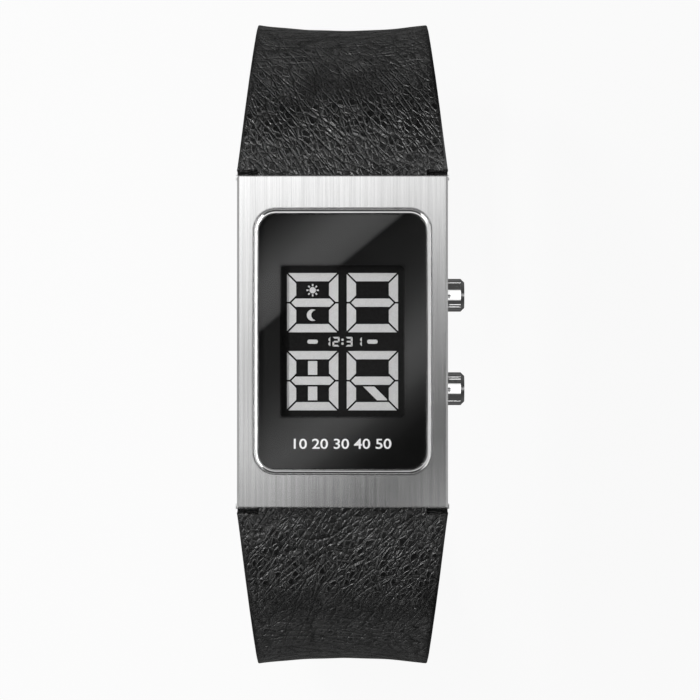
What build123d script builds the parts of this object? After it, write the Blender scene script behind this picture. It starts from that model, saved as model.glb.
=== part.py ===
from build123d import *
import math
import os

# Digital wristwatch: a rectangular steel case with a segment display, two side pushers and a
# two-piece leather strap with a pin buckle. The strap is unbuckled and stands curled on its tail.
# Millimetres. X points to 3 o'clock, Y to 12 o'clock, Z out of the dial. The origin is the centre
# of the case back's outer face.

# Fits
running = 0.05          # radial clearance of a pin that turns or slides in a hole
seat_gap = 0.05         # play of a flat part in its recess
swing_gap = 0.15        # room between the strap and the case it swings in
overrun = 1.0           # how far a cutter passes the faces that it cuts

# Case
case_width = 24.0
bezel_length = 37.8
side_wall = 1.9
end_wall = 1.0
lug_cover = 3.2         # how far the bezel reaches out over the lugs
post_size = 3.2
case_edge_chamfer = 0.35
cavity_width = case_width - 2 * side_wall
body_end = bezel_length / 2 - lug_cover
cavity_length = 2 * (body_end - end_wall)
post_x = (cavity_width - post_size) / 2
post_y = (cavity_length - post_size) / 2

# Lugs and spring bars
ear_width = 2.25
bar_offset = 1.9
bar_height = 4.0
ear_radius = 1.75
ear_neck = 1.3
bar_radius = 0.8
bar_bore_radius = 0.55
bar_end_gap = 0.2
bar_end_wall = 0.3
tip_radius = 0.4
tip_reach = 1.2
tip_head_length = 1.0
tip_hole_floor_gap = 0.2
bar_spring_wire = 0.2
bar_spring_pitch = 0.7
bar_spring_wire_sides = 8   # fine wire with flat sides
slot_width = case_width - 2 * ear_width
bar_y = body_end + bar_offset

# Heights of the stack inside the case, from the back to the glass
back_thickness = 0.8
module_screw_head = 0.3
clip_thickness = 0.2
battery_height = 1.6
contact_room = 0.25
board_thickness = 0.5
connector_height = 1.6
glass_sheet = 0.4
film_thickness = 0.1
segment_thickness = 0.06
segment_room = 0.15
dial_thickness = 0.5
ledge_thickness = 0.45
crystal_gasket_thickness = 0.15
print_thickness = 0.06
crystal_thickness = 0.95
bezel_thickness = 1.5
ring_proud = 0.1
z_clip = back_thickness + seat_gap + module_screw_head
z_battery = z_clip + clip_thickness
z_board = z_battery + battery_height + contact_room
z_holder = z_board + board_thickness
z_front_glass = z_holder + connector_height
z_rear_glass = z_front_glass - glass_sheet
z_reflector = z_rear_glass - film_thickness
z_film = z_front_glass + glass_sheet
z_segments = z_film + film_thickness
z_dial = z_segments + segment_room
z_case_top = z_dial + dial_thickness + seat_gap
z_ledge = z_case_top + ledge_thickness
z_print = z_ledge + crystal_gasket_thickness
z_crystal = z_print + print_thickness
z_crystal_top = z_crystal + crystal_thickness
z_bezel_top = z_case_top + bezel_thickness

# Bezel, polished ring and crystal
side_border = 2.415
end_border = 4.33
bezel_corner_radius = 0.3
bezel_side_chamfer = 0.25
bezel_end_chamfer = 0.12
groove_gap = 0.11
ring_wall = 0.55
ring_outer_chamfer = 0.2
ring_inner_chamfer = 0.05
crystal_corner_radius = 2.0
crystal_edge_chamfer = 0.12
ledge_reach = 0.6
peg_radius = 0.4
peg_length = 1.0
crystal_width = case_width - 2 * side_border
crystal_length = bezel_length - 2 * end_border

# Display
window_side_border = 2.435
window_end_border = 5.87
window_corner_radius = 0.7
dial_window_gap = 0.4
glass_side_lap = 1.35
glass_end_lap = 2.6
rear_glass_lap = 0.6
film_inset = 0.5
digit_side_gap = 0.815
digit_end_gap = 0.87
digit_column_gap = 0.97
digit_row_gap = 2.14
across_share = 0.139     # thickness of a bar as a share of the digit's height
upright_share = 0.18     # and of its width
segment_gap = 0.2
middle_tip_inset = 0.5
diagonal_start_share = 0.63
diagonal_width_share = 0.76
small_digit_height = 1.1
small_digit_width = 0.8
small_digit_pitch = 1.06
small_bar_thickness = 0.2
small_segment_gap = 0.04
small_tip_inset = 0.1
small_figures = "1231"
colon_room = 0.42
colon_dot_radius = 0.14
colon_dot_y = 0.22
dash_length = 1.2
dash_thickness = 0.47
dash_gap = 0.61
sign_place_share = 0.21  # shares of the digit's height
moon_share = 0.098
moon_bite_share = 0.88   # shares of the moon's radius
moon_shift_share = 0.64
sun_share = 0.55
ray_length_share = 0.36
ray_width_share = 0.26
ray_gap_share = 0.15
sun_rays = 8
window_width = crystal_width - 2 * window_side_border
window_length = crystal_length - 2 * window_end_border
front_glass_width = window_width + 2 * glass_side_lap
front_glass_length = window_length + 2 * glass_end_lap
rear_glass_length = window_length + 2 * rear_glass_lap
digit_width = (window_width - digit_column_gap) / 2 - digit_side_gap
digit_height = (window_length - digit_row_gap) / 2 - digit_end_gap
digit_column_x = (digit_width + digit_column_gap) / 2
digit_row_y = (digit_height + digit_row_gap) / 2
across_thickness = digit_height * across_share
upright_thickness = digit_width * upright_share
small_row_half = ((len(small_figures) - 1) * small_digit_pitch + colon_room + small_digit_width) / 2
dash_x = small_row_half + dash_gap + dash_length / 2
moon_radius = digit_height * moon_share

# Module
module_gap = 0.1
connector_width = 1.2
connector_end_inset = 0.5
connector_edge_gap = 0.15
chip_radius = 3.2
chip_height = 0.8
chip_room = 2.8
battery_side_room = 2.1
battery_end_room = 6.7
battery_play = 0.1
battery_cap_inset = 1.3
battery_cap_height = 0.15
battery_edge_chamfer = 0.2
clip_side_inset = 4.1
clip_end_room = 1.0
clip_side_room = 0.9
clip_tab_width = 4.0
contact_strip = 0.1
contact_width = 2.0
contact_foot = 1.7
contact_reach_share = 0.75  # of the cell's radius
contact_tip_x = 0.3
module_screw_end_room = 2.0
module_screw_radius = 0.5
module_screw_head_radius = 0.9
module_screw_grip = 1.1
can_radius = 0.75
can_length = 5.2
can_x = 3.9
can_end_room = 4.1
pocket_gap = 0.25
capacitor_length = 1.6
capacitor_width = 0.8
capacitor_height = 0.7
capacitor_pitch = 2.1
capacitor_count = 3
capacitor_x = 3.0
connector_length = front_glass_width - 2 * connector_end_inset
connector_y = (front_glass_length - connector_width) / 2 - connector_edge_gap
battery_radius = min(cavity_width / 2 - battery_side_room, cavity_length / 2 - battery_end_room)
module_screw_y = cavity_length / 2 - module_screw_end_room
can_y = cavity_length / 2 - can_end_room

# Case back
back_side_inset = 0.4
back_end_gap = 0.1
back_corner_radius = 1.6
back_edge_chamfer = 0.2
groove_offset = 0.25
groove_width = 0.45
groove_depth = 0.35
back_screw_radius = 0.5
back_screw_head_radius = 0.95
back_screw_head = 0.5
back_screw_length = 2.4
back_screw_turns = (20, 75, 130, 160)
driver_slot_width = 0.26
driver_slot_depth = 0.22

# Pushers
pusher_y = 5.35
pusher_travel = 0.9
pusher_radius = 1.88
pusher_stand_out = 1.93
pusher_entry = 0.05
pusher_stop_gap = 0.1
pusher_bore_gap = 0.1
pusher_end_chamfer = 0.42
pusher_dish_radius = 1.25
pusher_dish_depth = 0.08
pusher_cap_bore = 1.4
pusher_cap_end = 0.75
pusher_tube_radius = 1.0
pusher_tube_bore = 0.7
pusher_tube_proud = 0.1
stem_radius = 0.55
stem_reach = 0.9
stem_groove_radius = 0.42
seal_radius = 0.54
seal_wire = 0.24
seal_pitch = 0.62
seal_inset = 0.26
stem_clip_radius = 1.1
stem_clip_thickness = 0.2
stem_clip_gap = 0.12
stem_clip_mouth = 0.6
pusher_spring_radius = 1.2
pusher_spring_wire = 0.2
pusher_spring_turns = 4.5
switch_leaf = 0.12
switch_gap = 0.1
switch_width = 2.2
switch_foot = 1.3
switch_rise = 0.7
switch_room = 0.2
pusher_z = (back_thickness + z_case_top) / 2
cap_open_end = case_width / 2 - pusher_entry
cap_outer_end = case_width / 2 + pusher_stand_out
cap_floor = cap_outer_end - pusher_cap_end
counterbore_floor = cap_open_end - pusher_travel - pusher_stop_gap
stem_end = cavity_width / 2 - stem_reach
switch_face = stem_end - pusher_travel - switch_gap

# Strap
lug_half_thickness = 1.6
lug_loop_radius = 1.66
strap_half_thickness = 1.1
lining_thickness = 0.7
thick_end = 3.0
thin_from = 20.0
strap_taper = 4.0
flare_length = 15.0
flare_end = 44.0
glue_gap = 0.03
turn_up = 4.0
lug_slope = 18.0
lug_run = 4.0
shoulder_radius = 21.85
short_drop = 4.0
short_curl_radius = 19.4
short_length = 70.0
long_drop = 8.0
long_curl_radius = 27.4
long_length = 105.0
cup_height = 0.7
cup_from = 5.0
cup_to = 43.0
cup_least = 0.01
station_step = 4.0
hole_radius = 1.0
hole_pitch = 6.5
hole_count = 7
hole_from_tip = 22.0
tip_length = 9.0
tip_end_width = 9.0
tip_corner_radius = 3.4
strap_end_width = case_width - strap_taper

# Buckle
buckle_inner_gap = 0.25
buckle_arm = 2.0
buckle_thickness = 1.8
buckle_reach = 6.6
crossbar_width = 2.2
crossbar_lift = 0.5
buckle_corner_radius = 1.2
pin_radius = 0.7
pin_tip_length = 1.0
pin_end_gap = 0.1
pin_loop_gap = 0.1
strap_loop_radius = 1.65
tang_slot = 3.0
tang_slot_length = 5.2
tang_play = 0.2
tang_thickness = 0.9
tang_eye_radius = 1.45
tang_tip_past = 0.3
tang_tip_taper = 0.3
tang_rest_gap = 0.05
tang_width = 2 * hole_radius - tang_play
arm_inner_x = strap_end_width / 2 + buckle_inner_gap
crossbar_far = buckle_reach + crossbar_width

# Keepers
keeper_length = 5.0
keeper_wall = 1.0
keeper_side_gap = 0.3
keeper_inner_gap = 0.15
keeper_corner_radius = 0.8
fixed_keeper_at = 61.0
sliding_keeper_at = 51.0


def slab(width, length, bottom, top, radius=0.0):
    """Plate centred on the Z axis, with rounded corners if a radius is given."""
    outline = RectangleRounded(width, length, radius) if radius else Rectangle(width, length)
    return extrude(Pos(0, 0, bottom) * outline, top - bottom)


def block(x_range, y_range, z_range):
    """Box between two places on each axis."""
    ranges = (x_range, y_range, z_range)
    sizes = [high - low for low, high in ranges]
    middle = [(high + low) / 2 for low, high in ranges]
    return Pos(*middle) * Box(*sizes)


def upright_pin(x, y, bottom, top, radius):
    """Cylinder along Z."""
    return Pos(x, y, (bottom + top) / 2) * Cylinder(radius, top - bottom)


def cross_pin(x_low, x_high, y, z, radius):
    """Cylinder along X."""
    return Pos((x_low + x_high) / 2, y, z) * Rot(0, 90, 0) * Cylinder(radius, x_high - x_low)


def plate_of(points, bottom, top):
    """Plate with a straight-sided outline given in X and Y."""
    return extrude(Pos(0, 0, bottom) * Polygon(*points, align=None), top - bottom, dir=(0, 0, 1))


def side_profile(points, x_low, x_high):
    """Outline given in Y and Z, carried along X."""
    return extrude(Plane.YZ.offset(x_low) * Polygon(*points, align=None), x_high - x_low, dir=(1, 0, 0))


def coil(radius, wire, turns, length, sides=0):
    """Helical spring along Z, from zero to its length, of round wire or of wire with flat sides."""
    run = length - wire
    path = Pos(0, 0, wire / 2) * Helix(pitch=run / turns, height=run, radius=radius)
    wire_shape = RegularPolygon(wire / 2, sides) if sides else Circle(wire / 2)
    section = Plane(origin=path @ 0, z_dir=path % 0) * wire_shape
    return sweep(section, path=path, is_frenet=True)


def corners(x, y):
    """The four places that mirror one place over both axes."""
    return [(side * x, end * y) for side in (-1, 1) for end in (-1, 1)]


def mirrored(shape):
    """The same shape on the 6 o'clock side."""
    return mirror(shape, about=Plane.XZ)


def save(name, *shapes):
    """Writes one node's STEP file from all the solids in the shapes."""
    solids = [solid for shape in shapes for solid in shape.solids()]
    export_step(Compound(children=solids), os.path.join("parts", name + ".step"))


# Case
def ear(side):
    """One lug ear at 12 o'clock: a neck out of the case and a round end about the bar's axis."""
    inner = slot_width / 2
    outer = case_width / 2
    x_range = (inner, outer) if side > 0 else (-outer, -inner)
    neck = block(x_range, (cavity_length / 2, bar_y), (bar_height - ear_neck, z_case_top))
    knuckle = cross_pin(*x_range, bar_y, bar_height, ear_radius)
    hole_depth = tip_reach - bar_end_gap + tip_hole_floor_gap
    hole_range = (inner - overrun, inner + hole_depth)
    if side < 0:
        hole_range = (-inner - hole_depth, -inner + overrun)
    hole = cross_pin(*hole_range, bar_y, bar_height, tip_radius + running)
    return neck + knuckle - hole


def peg_places():
    """Centres of the bezel's four locating pegs, over the ears' necks."""
    return corners((slot_width + case_width) / 4, (body_end + bar_y) / 2)


def gasket_groove(play):
    """Rectangular ring in the case's underside, narrowed by some play for the gasket in it."""
    inner = 2 * (groove_offset + play)
    outer = 2 * (groove_offset + groove_width - play)
    bottom = back_thickness
    top = back_thickness + groove_depth
    ring = slab(cavity_width + outer, cavity_length + outer, bottom, top)
    return ring - slab(cavity_width + inner, cavity_length + inner, bottom - overrun, top + overrun)


def mid_case():
    """Middle of the case: walls, lug ears, screw posts, and the pushers' stepped bores."""
    body = slab(case_width, 2 * body_end, back_thickness, z_case_top)
    lower_sides = body.edges().group_by(Axis.Z)[0].filter_by(Axis.Y)
    body = chamfer(lower_sides, case_edge_chamfer)
    ears = ear(-1) + ear(1)
    body += ears + mirrored(ears)
    body -= slab(cavity_width, cavity_length, back_thickness - overrun, z_case_top + overrun)
    for x, y in corners(post_x, post_y):
        post = slab(post_size, post_size, back_thickness, z_dial)
        hole_top = back_screw_head + back_screw_length + pusher_stop_gap
        hole = upright_pin(0, 0, back_thickness - overrun, hole_top, back_screw_radius + running)
        body += Pos(x, y, 0) * (post - hole)
    body -= gasket_groove(0)
    for x, y in peg_places():
        floor = z_case_top - peg_length - pusher_stop_gap
        body -= upright_pin(x, y, floor, z_case_top + overrun, peg_radius + running)
    for y in (-pusher_y, pusher_y):
        far = case_width / 2 + overrun
        near = cavity_width / 2 - overrun
        body -= cross_pin(counterbore_floor, far, y, pusher_z, pusher_radius + pusher_bore_gap)
        body -= cross_pin(near, far, y, pusher_z, pusher_tube_radius)
    return body


def case_back():
    """Back plate with a countersunk seat for each screw."""
    length = 2 * (body_end - back_end_gap)
    width = case_width - 2 * back_side_inset
    plate = slab(width, length, 0, back_thickness, back_corner_radius)
    plate = chamfer(plate.edges().group_by(Axis.Z)[0], back_edge_chamfer)
    for x, y in corners(post_x, post_y):
        head = back_screw_head_radius + running
        plate -= upright_pin(x, y, -overrun, back_screw_head, head)
        plate -= upright_pin(x, y, -overrun, back_thickness + overrun, back_screw_radius + running)
    return plate


def slotted_screw(head_radius, head_height, radius, length):
    """Screw that points up, with its flat head at the bottom and a slot across the head."""
    screw = upright_pin(0, 0, 0, head_height, head_radius)
    screw += upright_pin(0, 0, head_height, head_height + length, radius)
    half_slot = driver_slot_width / 2
    slot_x = (-head_radius - overrun, head_radius + overrun)
    return screw - block(slot_x, (-half_slot, half_slot), (-overrun, driver_slot_depth))


def case_back_screws():
    """Four screws, each turned a different way, heads flush with the back."""
    screw = slotted_screw(back_screw_head_radius, back_screw_head, back_screw_radius, back_screw_length)
    places = zip(back_screw_turns, corners(post_x, post_y))
    return [Pos(x, y, 0) * Rot(0, 0, turn) * screw for turn, (x, y) in places]


# Bezel and glass
def bezel():
    """Front plate with bevelled edges, the crystal's opening and ledge, and four pegs below."""
    half_width = case_width / 2
    half_length = bezel_length / 2
    shoulder = half_width - bezel_side_chamfer
    top = z_bezel_top
    across = [(-half_width, z_case_top), (half_width, z_case_top), (half_width, top - bezel_side_chamfer),
              (shoulder, top), (-shoulder, top), (-half_width, top - bezel_side_chamfer)]
    end = half_length - bezel_end_chamfer
    along = [(-half_length, z_case_top), (half_length, z_case_top), (half_length, top - bezel_end_chamfer),
             (end, top), (-end, top), (-half_length, top - bezel_end_chamfer)]
    plate = extrude(Plane.XZ * Polygon(*across, align=None), half_length, both=True)
    plate &= side_profile(along, -half_width, half_width)
    plate &= slab(case_width, bezel_length, z_case_top, top, bezel_corner_radius)
    wall = 2 * (seat_gap + ring_wall + groove_gap)
    opening_radius = crystal_corner_radius + wall / 2
    plate -= slab(crystal_width + wall, crystal_length + wall, z_ledge, top + overrun, opening_radius)
    plate -= ledge_opening(z_case_top - overrun, z_ledge + overrun)
    for x, y in peg_places():
        plate += upright_pin(x, y, z_case_top - peg_length, z_case_top, peg_radius)
    return plate


def ledge_opening(bottom, top):
    """Space inside the ledge that carries the glass."""
    radius = crystal_corner_radius - ledge_reach
    return slab(crystal_width - 2 * ledge_reach, crystal_length - 2 * ledge_reach, bottom, top, radius)


def crystal_ring():
    """Polished ring around the glass, bevelled on its outer edge."""
    inner = 2 * seat_gap
    outer = 2 * (seat_gap + ring_wall)
    top = z_bezel_top + ring_proud
    outer_radius = crystal_corner_radius + outer / 2
    inner_radius = crystal_corner_radius + inner / 2
    ring = slab(crystal_width + outer, crystal_length + outer, z_ledge, top, outer_radius)
    ring = chamfer(ring.edges().group_by(Axis.Z)[-1], ring_outer_chamfer)
    hole = slab(crystal_width + inner, crystal_length + inner, z_ledge, top, inner_radius)
    ring -= hole
    rim = ring.faces().sort_by(Axis.Z)[-1].inner_wires()[0].edges()
    return chamfer(rim, ring_inner_chamfer)


def crystal():
    """Flat mineral glass with a fine bevel round its top edge."""
    glass = slab(crystal_width, crystal_length, z_crystal, z_crystal_top, crystal_corner_radius)
    return chamfer(glass.edges().group_by(Axis.Z)[-1], crystal_edge_chamfer)


def crystal_gasket():
    """Flat seal between the ledge and the glass."""
    ring = slab(crystal_width, crystal_length, z_ledge, z_print, crystal_corner_radius)
    return ring - ledge_opening(z_ledge - overrun, z_print + overrun)


def crystal_print():
    """Black mask under the glass, with the display window left clear."""
    mask = slab(crystal_width, crystal_length, z_print, z_crystal, crystal_corner_radius)
    return mask - slab(window_width, window_length, z_print, z_crystal, window_corner_radius)


def dial_plate():
    """Plate that holds the display down, with a window a little larger than the mask's."""
    top = z_dial + dial_thickness
    plate = slab(cavity_width - 2 * module_gap, cavity_length - 2 * module_gap, z_dial, top)
    gap = 2 * dial_window_gap
    window_radius = window_corner_radius + dial_window_gap
    return plate - slab(window_width + gap, window_length + gap, z_dial, z_case_top, window_radius)


# Display segments
def digit_outlines(width, height, across, upright, gap, tip_inset):
    """Outlines of the seven bars of a digit about its own centre, by the usual letters."""
    half_w = width / 2
    half_h = height / 2
    nudge = gap / math.sqrt(2)
    slant = nudge * 2
    outer_x = half_w - nudge
    inner_x = outer_x - across
    top = [(-outer_x, half_h), (outer_x, half_h), (inner_x, half_h - across), (-inner_x, half_h - across)]
    tip_x = half_w - tip_inset
    flat_x = tip_x - across / 2
    middle = [(-tip_x, 0), (-flat_x, across / 2), (flat_x, across / 2), (tip_x, 0),
              (flat_x, -across / 2), (-flat_x, -across / 2)]
    low = gap / 2
    inner_low = max(upright - tip_inset + slant, low)
    side = [(half_w, low), (half_w, half_h - nudge), (half_w - upright, half_h - nudge - upright),
            (half_w - upright, inner_low), (tip_x + slant - low, low)]
    flip_x = [(-x, y) for x, y in side]
    flip_y = [(x, -y) for x, y in side]
    flip_both = [(-x, -y) for x, y in side]
    bottom = [(x, -y) for x, y in top]
    return {"a": top, "b": side, "c": flip_y, "d": bottom, "e": flip_both, "f": flip_x, "g": middle}


def large_digit():
    """All seven bars of a large digit."""
    bars = digit_outlines(digit_width, digit_height, across_thickness, upright_thickness, segment_gap,
                          middle_tip_inset)
    return list(bars.values())


def inner_cell():
    """Clear space below the middle bar of a large digit: half width, top and bottom."""
    half = digit_width / 2 - upright_thickness - segment_gap
    high = -across_thickness / 2 - segment_gap
    low = -digit_height / 2 + across_thickness + segment_gap
    return half, high, low


def centre_bars():
    """Two upright bars in the middle of a large digit."""
    half, high, low = inner_cell()
    bar = upright_thickness / 2
    lower = [(-bar, high), (bar, high), (bar, low), (-bar, low)]
    return [lower, [(x, -y) for x, y in lower]]


def diagonal_bar():
    """Slanted bar in the lower half of a large digit, clipped by the space it is in."""
    half, high, low = inner_cell()
    slide = high - low
    start = -half * diagonal_start_share
    right_top = start + half * diagonal_width_share
    clip = half - right_top
    return [(start, high), (right_top, high), (half, high - clip), (half, low), (start + slide, low)]


def small_number():
    """Four small digits with a colon, in the place of the line between the rows."""
    bars = digit_outlines(small_digit_width, small_digit_height, small_bar_thickness,
                          small_bar_thickness, small_segment_gap, small_tip_inset)
    lit = {"1": "bc", "2": "abged", "3": "abgcd"}
    outlines = []
    for place, figure in enumerate(small_figures):
        x = (place - (len(small_figures) - 1) / 2) * small_digit_pitch
        x += math.copysign(colon_room / 2, x)
        outlines += [[(x + px, py) for px, py in bars[bar]] for bar in lit[figure]]
    return outlines


def sun_and_moon():
    """Day and night signs above the middle bar of the first digit."""
    sun_radius = moon_radius * sun_share
    length = moon_radius * ray_length_share
    ray = Pos(sun_radius + moon_radius * ray_gap_share + length / 2, 0, 0)
    ray *= Rectangle(length, moon_radius * ray_width_share)
    day = [Circle(sun_radius)]
    day += [Rot(0, 0, 360 * turn / sun_rays) * ray for turn in range(sun_rays)]
    bite = Pos(moon_radius * moon_shift_share, 0, 0) * Circle(moon_radius * moon_bite_share)
    night = Circle(moon_radius) - bite
    offset = digit_height * sign_place_share
    signs = [Pos(-digit_column_x, digit_row_y + offset, 0) * shape for shape in day]
    return signs + [Pos(-digit_column_x, digit_row_y - offset, 0) * night]


def lcd_segments():
    """Every bar of the display: four large digits, the small number, two dashes, two signs."""
    outlines = []
    for x, y in corners(digit_column_x, digit_row_y):
        cell = large_digit()
        if y < 0 and x < 0:
            cell += centre_bars()
        if y < 0 and x > 0:
            cell.append(diagonal_bar())
        outlines += [[(x + px, y + py) for px, py in outline] for outline in cell]
    outlines += small_number()
    top = z_segments + segment_thickness
    bars = [plate_of(outline, z_segments, top) for outline in outlines]
    flat = list(sun_and_moon())
    flat += [Pos(x, 0, 0) * SlotOverall(dash_length, dash_thickness) for x in (-dash_x, dash_x)]
    for y in (-colon_dot_y, colon_dot_y):
        flat.append(Pos(0, y, 0) * Circle(colon_dot_radius))
    bars += [extrude(Pos(0, 0, z_segments) * shape, segment_thickness) for shape in flat]
    return bars


# Module
def module_plate(bottom, top):
    """Plate of the cavity's outline, notched for the screw posts."""
    plate = slab(cavity_width - 2 * module_gap, cavity_length - 2 * module_gap, bottom, top)
    notch = slab(post_size + 2 * module_gap, post_size + 2 * module_gap, bottom, top)
    for x, y in corners(post_x, post_y):
        plate -= Pos(x, y, 0) * notch
    return plate


def pusher_notches(inner_x, bottom, top):
    """Cutters for the two places where the pushers' stems reach into the module."""
    half = stem_clip_radius + pocket_gap
    notches = []
    for y in (-pusher_y, pusher_y):
        notches.append(block((inner_x, cavity_width / 2), (y - half, y + half), (bottom, top)))
    return notches


def module_screw_holes(bottom, top, radius):
    """Cutters for the two screws that clamp the module together."""
    return [upright_pin(0, y, bottom, top, radius) for y in (-module_screw_y, module_screw_y)]


def lcd_holder():
    """Frame over the board, with pockets for the display, its connectors and the chip."""
    frame = module_plate(z_holder, z_dial)
    glass_width = front_glass_width + 2 * module_gap
    frame -= slab(glass_width, front_glass_length + 2 * module_gap, z_front_glass, z_dial)
    frame -= slab(glass_width, rear_glass_length + 2 * module_gap, z_reflector, z_front_glass)
    opening = 2 * (chip_radius + chip_room)
    frame -= slab(opening, opening, z_holder, z_reflector)
    slot_length = connector_length + 2 * module_gap
    slot_depth = connector_width + 2 * module_gap
    for y in (-connector_y, connector_y):
        frame -= Pos(0, y, 0) * slab(slot_length, slot_depth, z_holder, z_front_glass)
    clip_top = pusher_z + stem_clip_radius + module_gap
    outer_x = glass_width / 2 + module_gap
    leaf_top = z_holder + switch_rise + switch_room
    foot_x = switch_face - switch_foot - switch_room
    for notch in pusher_notches(outer_x, z_holder, clip_top) + pusher_notches(foot_x, z_holder, leaf_top):
        frame -= notch
    for hole in module_screw_holes(z_holder, z_holder + module_screw_grip, module_screw_radius + running):
        frame -= hole
    return frame


def zebra_connectors():
    """Two rubber strips that join the board to the display glass."""
    strip = slab(connector_length, connector_width, z_holder, z_front_glass)
    return [Pos(0, y, 0) * strip for y in (-connector_y, connector_y)]


def circuit_board():
    """Board notched for the posts, the stems and the module screws."""
    board = module_plate(z_board, z_holder)
    for notch in pusher_notches(switch_face - switch_leaf, z_board, z_holder):
        board -= notch
    for hole in module_screw_holes(z_board, z_holder, module_screw_radius + running):
        board -= hole
    return board


def driver_chip():
    """Blob of resin over the chip, a low dome on the board's upper face."""
    dome_radius = (chip_radius ** 2 + chip_height ** 2) / (2 * chip_height)
    dome = Pos(0, 0, z_holder + chip_height - dome_radius) * Sphere(dome_radius)
    return dome & slab(2 * chip_radius, 2 * chip_radius, z_holder, z_holder + chip_height)


def can_place():
    """Height of the quartz can's axis, where it lies against the board's underside."""
    return z_board - can_radius


def quartz_can():
    """Quartz crystal in its can, lying under the board."""
    return cross_pin(can_x - can_length / 2, can_x + can_length / 2, can_y, can_place(), can_radius)


def capacitors():
    """Row of small capacitors under the board."""
    chips = []
    for index in range(capacitor_count):
        x = capacitor_x + (index - (capacitor_count - 1) / 2) * capacitor_pitch
        chip = slab(capacitor_length, capacitor_width, z_board - capacitor_height, z_board)
        chips.append(Pos(x, -can_y, 0) * chip)
    return chips


def switch_contacts():
    """Two sprung leaves on the board's edge that the pushers' stems press."""
    leaves = []
    inner = switch_face - switch_leaf
    half = switch_width / 2
    for y in (-pusher_y, pusher_y):
        y_range = (y - half, y + half)
        blade = block((inner, switch_face), y_range, (z_board, z_holder + switch_rise))
        foot = block((switch_face - switch_foot, switch_face), y_range, (z_holder, z_holder + switch_leaf))
        leaves.append(blade + foot)
    return leaves


def battery():
    """Button cell: a can with a smaller cap towards the board."""
    shoulder = z_battery + battery_height - battery_cap_height
    can = upright_pin(0, 0, z_battery, shoulder, battery_radius)
    can = chamfer(can.edges().group_by(Axis.Z)[0], battery_edge_chamfer)
    cap_radius = battery_radius - battery_cap_inset
    return can + upright_pin(0, 0, shoulder, shoulder + battery_cap_height, cap_radius)


def battery_contact():
    """Sprung strip from the board down to the cap of the cell."""
    foot_start = -battery_radius * contact_reach_share
    foot_end = foot_start + contact_foot
    cell = z_battery + battery_height
    points = [(foot_start, z_board), (foot_end, z_board), (contact_tip_x, cell + contact_strip),
              (contact_tip_x, cell), (foot_end, z_board - contact_strip),
              (foot_start, z_board - contact_strip)]
    return extrude(Plane.XZ * Polygon(*points, align=None), contact_width / 2, both=True)


def battery_holder():
    """Frame around the cell, with pockets for what hangs under the board."""
    frame = module_plate(z_battery, z_board)
    frame -= upright_pin(0, 0, z_battery, z_board, battery_radius + battery_play)
    for notch in pusher_notches(switch_face - switch_leaf, z_battery, z_board):
        frame -= notch
    can_pocket = slab(can_length + 2 * pocket_gap, 2 * (can_radius + pocket_gap), z_battery, z_board)
    frame -= Pos(can_x, can_y, 0) * can_pocket
    row = (capacitor_count - 1) * capacitor_pitch + capacitor_length + 2 * pocket_gap
    row_pocket = slab(row, capacitor_width + 2 * pocket_gap, z_battery, z_board)
    frame -= Pos(capacitor_x, -can_y, 0) * row_pocket
    for hole in module_screw_holes(z_battery, z_board, module_screw_radius + running):
        frame -= hole
    return frame


def battery_clip():
    """Steel plate under the cell, with a tab at each side, screwed to the module."""
    width = cavity_width - 2 * clip_side_inset
    plate = slab(width, cavity_length - 2 * clip_end_room, z_clip, z_battery)
    plate += slab(cavity_width - 2 * clip_side_room, clip_tab_width, z_clip, z_battery)
    for hole in module_screw_holes(z_clip, z_battery, module_screw_radius + running):
        plate -= hole
    return plate


def module_screws():
    """Two screws through the clip, the frame and the board into the display's frame."""
    length = z_holder + module_screw_grip - pusher_stop_gap - z_clip
    screw = slotted_screw(module_screw_head_radius, module_screw_head, module_screw_radius, length)
    return [Pos(0, y, z_clip - module_screw_head) * screw for y in (-module_screw_y, module_screw_y)]


# Pushers, built along Z from the middle of the watch and then turned to point along X
def pusher_place(y):
    """Frame of a pusher: its Z runs out of the case, with zero at the watch's middle."""
    return Plane(origin=(0, y, pusher_z), x_dir=(0, 1, 0), z_dir=(1, 0, 0))


def disc(bottom, top, radius):
    """Cylinder about the pusher's own axis."""
    return upright_pin(0, 0, bottom, top, radius)


def stem_clip_range():
    """Where the clip sits on the stem, just inside the case's wall."""
    high = cavity_width / 2 - stem_clip_gap
    return high - stem_clip_thickness, high


def tube_end():
    """Outer end of the tube that guides a stem."""
    return case_width / 2 + pusher_tube_proud


def seal_places():
    """Middles of the two sealing rings along the stem, inside the tube at both ends of travel."""
    first = tube_end() - seal_inset
    return [first, first - seal_pitch]


def pusher_cap():
    """Round button with its stem, grooved for the clip and the sealing rings."""
    button = disc(cap_open_end, cap_outer_end, pusher_radius)
    button = chamfer(button.edges().group_by(Axis.Z)[-1], pusher_end_chamfer)
    button -= disc(cap_outer_end - pusher_dish_depth, cap_outer_end + overrun, pusher_dish_radius)
    button -= disc(cap_open_end - overrun, cap_floor, pusher_cap_bore)
    button += disc(stem_end, cap_floor, stem_radius)
    low, high = stem_clip_range()
    grooves = [(low - running, high + running)]
    grooves += [(z - seal_wire / 2, z + seal_wire / 2) for z in seal_places()]
    for start, end in grooves:
        button -= disc(start, end, stem_radius + running) - disc(start, end, stem_groove_radius)
    return button


def pusher_tube():
    """Guide tube pressed into the case wall."""
    start = cavity_width / 2
    return disc(start, tube_end(), pusher_tube_radius) - disc(start, tube_end(), pusher_tube_bore)


def pusher_seals():
    """Two rubber rings in the stem's grooves."""
    return [Pos(0, 0, z) * Torus(seal_radius, seal_wire / 2) for z in seal_places()]


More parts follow.
